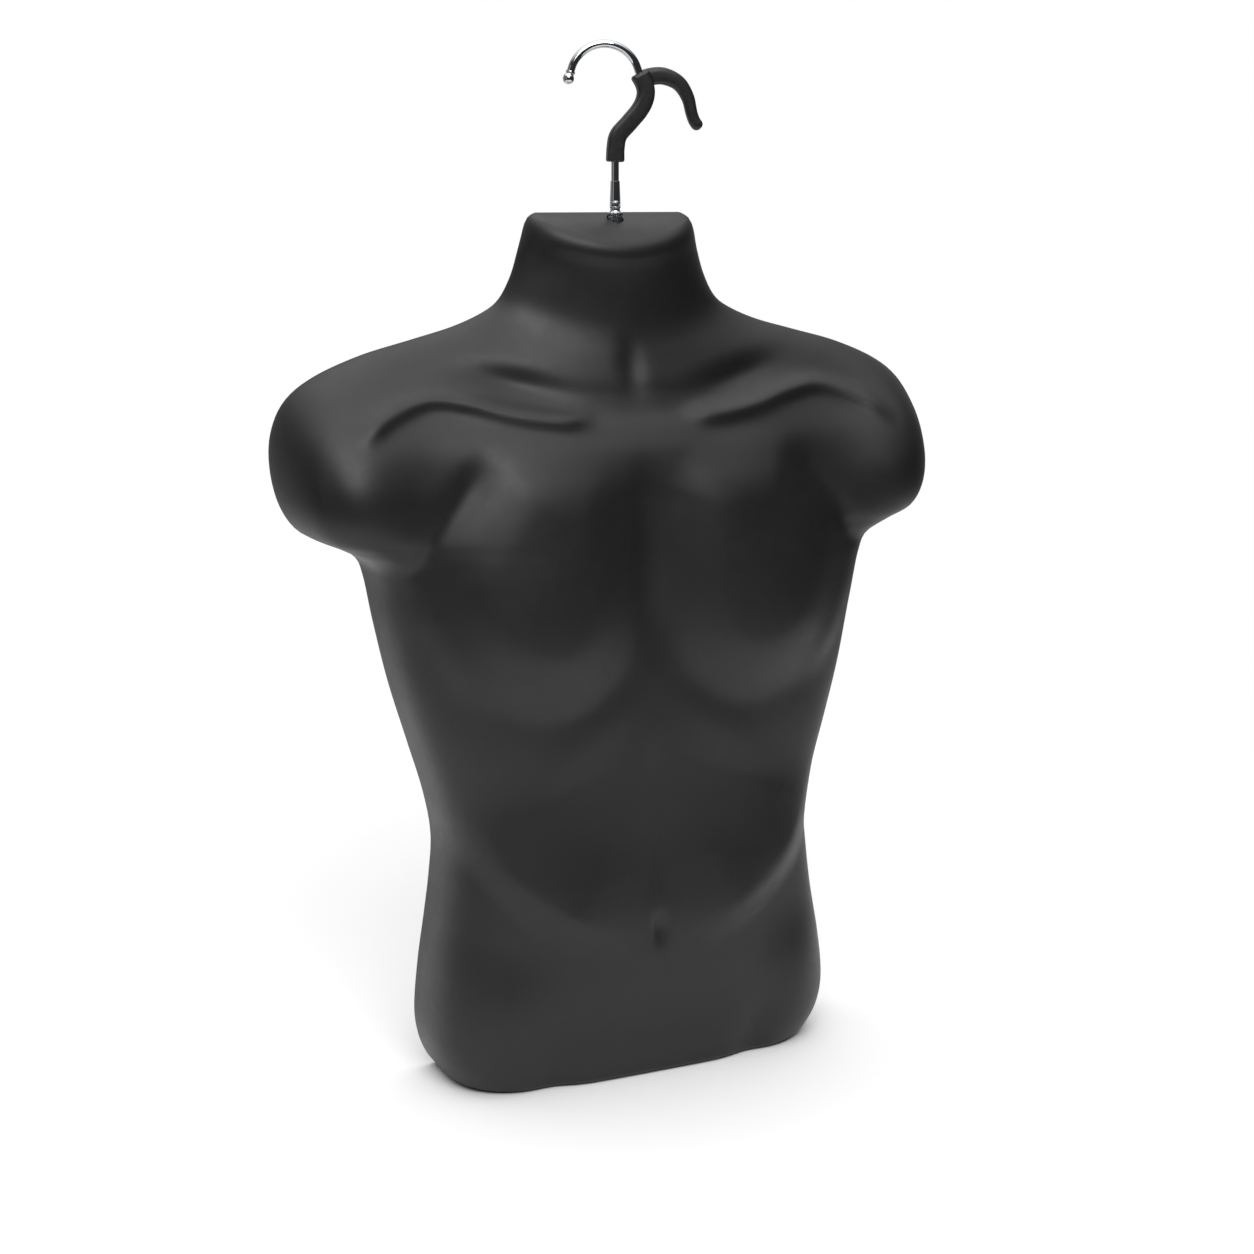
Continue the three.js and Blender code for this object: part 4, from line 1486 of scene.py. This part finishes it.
    def wire_track(self, count: int = 260) -> np.ndarray:
        """Gives the wire's middle line, from the stem's lower end to the tip.

        Args:
            count: how many points to read.

        Returns:
            The points, across and up, in millimetres.
        """
        low = Stack.of("stem_nut").bottom - self.stem_tail - self.foot
        arc = [self.arc_point(d) for d in np.linspace(self.arc_start, self.arc_end, 9)]
        return self.track([(0, low), (0, low / 2), *self.bend, *arc], count)

    def wire(self, radius: float | None = None) -> bmesh.types.BMesh:
        """Makes the round wire, or the channel that it needs.

        Args:
            radius: the channel's radius, or none for the wire itself.

        Returns:
            The solid.
        """
        track = self.wire_track()
        size = radius or self.wire_radius
        half = np.full(len(track), size)
        return self.bar(
            track, half, size, middle_y=0.0, squareness=2.0, start_round=0.5, end_round=0.5
        )

    def tip(self) -> bmesh.types.BMesh:
        """Makes the ball at the wire's end, with its small collar.

        Returns:
            The solid, in the hook's own plane.
        """
        track = self.wire_track()
        end = track[-1]
        run = (track[-1] - track[-2]) / np.linalg.norm(track[-1] - track[-2])
        r = self.ball_radius
        centre = r * 0.75
        hole, collar, neck = self.wire_radius + 0.05, self.collar_radius, self.collar_neck
        outline = [(hole, -2.2), (collar - 0.1, -2.2), (collar, -1.9), (collar, -1.1),
                   (collar - 0.25, -0.75), (neck, -0.6), (neck, 0.1)]
        start = math.acos(neck / r)
        outline += [(r * math.cos(a), centre + r * math.sin(a))
                    for a in np.linspace(-start + 0.05, math.pi / 2 - self.pole_angle, 26)]
        outline += [(ON_AXIS, 0.3), (hole, 0.3)]
        bm = turned(outline, 0, 48)
        axis = Vector((run[0], 0, run[1]))
        turn = Vector((0, 0, 1)).rotation_difference(axis).to_matrix().to_4x4()
        place = Matrix.Translation(Vector((end[0], 0, end[1])) * MM)
        bmesh.ops.transform(bm, matrix=place @ turn, verts=bm.verts[:])
        return bm

    def ferrule(self) -> None:
        """Makes the flared ferrule at the stem's foot."""
        place = Stack.of("stem_ferrule")
        low, high = place.bottom, place.top
        hole, rim = self.wire_radius + 0.3, place.radius
        outline = [(hole, low)] + rounded(
            [(hole, low), (rim, low), (rim, low + 1.2), (rim - 0.35, low + 1.7),
             (rim - 0.1, low + 2.4), (hole + 0.55, low + 7), (hole + 0.25, high), (hole, high)],
            0.4, 4,
        )[5:]
        bm = turned(outline, place.y, 64)
        dressed(finished("stem_ferrule_flared", bm), ChromePlate(), Body.HOOK, "stem_ferrule")

    def sleeve(self, grow: float = 0.0) -> bmesh.types.BMesh:
        """Makes the whole S-shaped sleeve, before it is split into halves.

        Args:
            grow: how far its skin is moved out.

        Returns:
            The closed solid, in the hook's own plane.
        """
        track = self.track([*self.bend, self.arc_point(self.grip_end)], self.grip_points)
        way = np.linspace(0, 1, len(track))
        flare = 0.5 * smooth_step(0.9, 1.0, way) + 0.15 * smooth_step(0.12, 0.0, way)
        half = np.full(len(track), self.grip_width / 2) + flare + grow
        return self.bar(
            track, half, self.grip_thickness / 2 + grow, middle_y=0.0, squareness=5.0,
            start_round=1.5, end_round=2.2,
        )

    def side_arm(self) -> bmesh.types.BMesh:
        """Makes the small hook arm that leaves the top of the sleeve.

        Returns:
            The closed solid, in the hook's own plane.
        """
        track = self.track(self.arm, self.grip_points)
        way = np.linspace(0, 1, len(track))
        slim = smooth_step(0.15, 0.85, way)
        width = self.grip_width + (self.arm_tip_width - self.grip_width) * slim
        middle = (self.grip_thickness - self.arm_thickness) / 2
        return self.bar(
            track, width / 2, self.arm_thickness / 2, middle_y=middle, squareness=3.2,
            start_round=1.0, end_round=3.6,
        )

    def half_space(self, side: int, gap: float) -> bmesh.types.BMesh:
        """Makes a block that holds everything in front of, or behind, the hook's plane.

        Args:
            side: -1 for the front and 1 for the back.
            gap: how far it stays from the plane.

        Returns:
            The block.
        """
        bm = bmesh.new()
        reach = 0.2
        middle = Vector((0, side * (reach / 2 + gap * MM), self.foot * MM))
        size = Matrix.Diagonal((2 * reach, reach, 2 * reach, 1))
        bmesh.ops.create_cube(bm, size=1, matrix=Matrix.Translation(middle) @ size)
        return bm

    def grip(self) -> None:
        """Makes the sleeve's halves, the rear one with the side arm, round the wire."""
        channel = self.wire_radius + self.channel_play
        front = finished("grip_front_moulding", self.sleeve())
        combined(front, self.half_space(-1, self.seam), Cut.COMMON)
        combined(front, self.wire(channel), Cut.AWAY)
        rear = finished("grip_rear_moulding", self.side_arm())
        beside = finished("beside", self.sleeve(self.arm_play))
        combined(beside, self.half_space(-1, -self.seam), Cut.COMMON)
        combined(rear, taken(beside), Cut.AWAY)
        back = finished("back", self.sleeve())
        combined(back, self.half_space(1, self.seam), Cut.COMMON)
        combined(rear, taken(back), Cut.JOINED)
        combined(rear, self.wire(channel), Cut.AWAY)
        for piece, node in ((front, "grip_front"), (rear, "grip_rear")):
            bm = bmesh.new()
            bm.from_mesh(piece.data)
            self.placed(bm).to_mesh(piece.data)
            bm.free()
            sharpen(piece, 40)
            dressed(piece, SoftTouch(), Body.HOOK, node)

    def build(self) -> None:
        """Makes every piece of the hook."""
        wire = finished("hook_wire_bent", self.placed(self.wire()))
        dressed(wire, ChromePlate(), Body.HOOK, "hook_wire")
        tip = finished("tip_ball_turned", self.placed(self.tip()))
        dressed(tip, ChromePlate(), Body.HOOK, "tip_ball")
        self.ferrule()
        self.grip()


# ---- the studio ---------------------------------------------------------------------------


@dataclass(frozen=True)
class Lamp:
    """A soft rectangular light, in metres and watts."""

    name: str
    place: Point
    target: Point
    size: Pair
    watts: float

    def hang(self) -> None:
        """Hangs the light at its place, facing its target."""
        data = bpy.data.lights.new(self.name, "AREA")
        data.shape = "RECTANGLE"
        data.size, data.size_y = self.size
        data.energy = self.watts
        light = bpy.data.objects.new(self.name, data)
        light.location = self.place
        aim = Vector(self.target) - Vector(self.place)
        light.rotation_euler = aim.to_track_quat("-Z", "Y").to_euler()
        bpy.context.scene.collection.objects.link(light)


@dataclass
class Studio:
    """A pale floor, soft light from above and behind, and the camera."""

    floor_radius: float = 1.1
    lens_mm: float = 58.85
    sensor_mm: float = 36.0
    yaw: float = -24.0
    pitch: float = -12.034
    place: Point = (-600.7, -1333.2, 645.6)
    paper: str = "#f2f2f2"
    glow_behind: Pair = (0.04, 0.45)  # the room's light in front, and behind the form
    glow_above: float = 2.1
    lamps: tuple[Lamp, ...] = (
        Lamp("key", (-0.45, -1.6, 1.95), (0.0, 0.0, 0.42), (1.5, 1.0), 28.0),
        Lamp("side", (-1.9, -0.6, 0.9), (0.0, 0.0, 0.6), (0.7, 1.4), 1.5),
    )

    def camera(self) -> None:
        """Stands the camera in front, to the form's right, a little above its chest."""
        data = bpy.data.cameras.new("camera")
        data.lens = self.lens_mm
        data.sensor_width = self.sensor_mm
        data.clip_end = 100
        camera = bpy.data.objects.new("camera", data)
        camera.location = Vector(self.place) * MM
        camera.rotation_euler = (math.radians(90 + self.pitch), 0, math.radians(self.yaw))
        bpy.context.scene.collection.objects.link(camera)
        bpy.context.scene.camera = camera

    def floor(self) -> None:
        """Lays a plain white floor."""
        bm = bmesh.new()
        bmesh.ops.create_circle(bm, cap_ends=True, segments=96, radius=self.floor_radius)
        floor = finished("studio_floor", bm)
        material = bpy.data.materials.new("white_paper_sweep")
        material.use_nodes = True
        surface = material.node_tree.nodes["Principled BSDF"]
        surface.inputs["Base Color"].default_value = linear(self.paper)
        surface.inputs["Roughness"].default_value = 0.9
        surface.inputs["Specular IOR Level"].default_value = 0.1
        floor.data.materials.append(material)

    def sky(self) -> None:
        """Lights the room bright above and behind, and dark on the camera's side."""
        world = bpy.data.worlds.new("studio")
        bpy.context.scene.world = world
        world.use_nodes = True
        tree = world.node_tree
        tree.nodes.clear()
        way = add_node(tree, "ShaderNodeTexCoord").outputs["Generated"]
        split = add_node(tree, "ShaderNodeSeparateXYZ", {"Vector": way})
        behind = add_node(
            tree, "ShaderNodeMapRange", {"Value": split.outputs["Y"]},
            {"From Min": -0.1, "From Max": 0.9, "To Min": self.glow_behind[0],
             "To Max": self.glow_behind[1]},
            interpolation_type="SMOOTHSTEP",
        ).outputs["Result"]
        above = add_node(
            tree, "ShaderNodeMapRange", {"Value": split.outputs["Z"]},
            {"From Min": 0.5, "From Max": 1.0, "To Min": 0.0, "To Max": self.glow_above},
            interpolation_type="SMOOTHSTEP",
        ).outputs["Result"]
        glow = add_node(
            tree, "ShaderNodeMath", {0: behind, 1: above}, operation="ADD"
        ).outputs["Value"]
        seen = add_node(tree, "ShaderNodeLightPath").outputs["Is Camera Ray"]
        white = (1, 1, 1, 1)
        room = add_node(tree, "ShaderNodeBackground", {"Strength": glow}, {"Color": white})
        paper = add_node(
            tree, "ShaderNodeBackground", inputs={"Color": white, "Strength": 1.0}
        )
        mix = add_node(
            tree, "ShaderNodeMixShader",
            {0: seen, 1: room.outputs["Background"], 2: paper.outputs["Background"]},
        )
        add_node(tree, "ShaderNodeOutputWorld", {"Surface": mix.outputs["Shader"]})

    def build(self) -> None:
        """Sets up the whole studio."""
        bpy.context.scene.view_settings.view_transform = "Standard"
        self.camera()
        self.floor()
        self.sky()
        for lamp in self.lamps:
            lamp.hang()


def main() -> None:
    """Builds the studio and every piece in order."""
    logging.basicConfig(level=logging.INFO, format="%(name)s: %(message)s")
    Studio().build()
    Torso().build()
    Swivel().build()
    Hook().build()


if __name__ == "__main__":
    main()
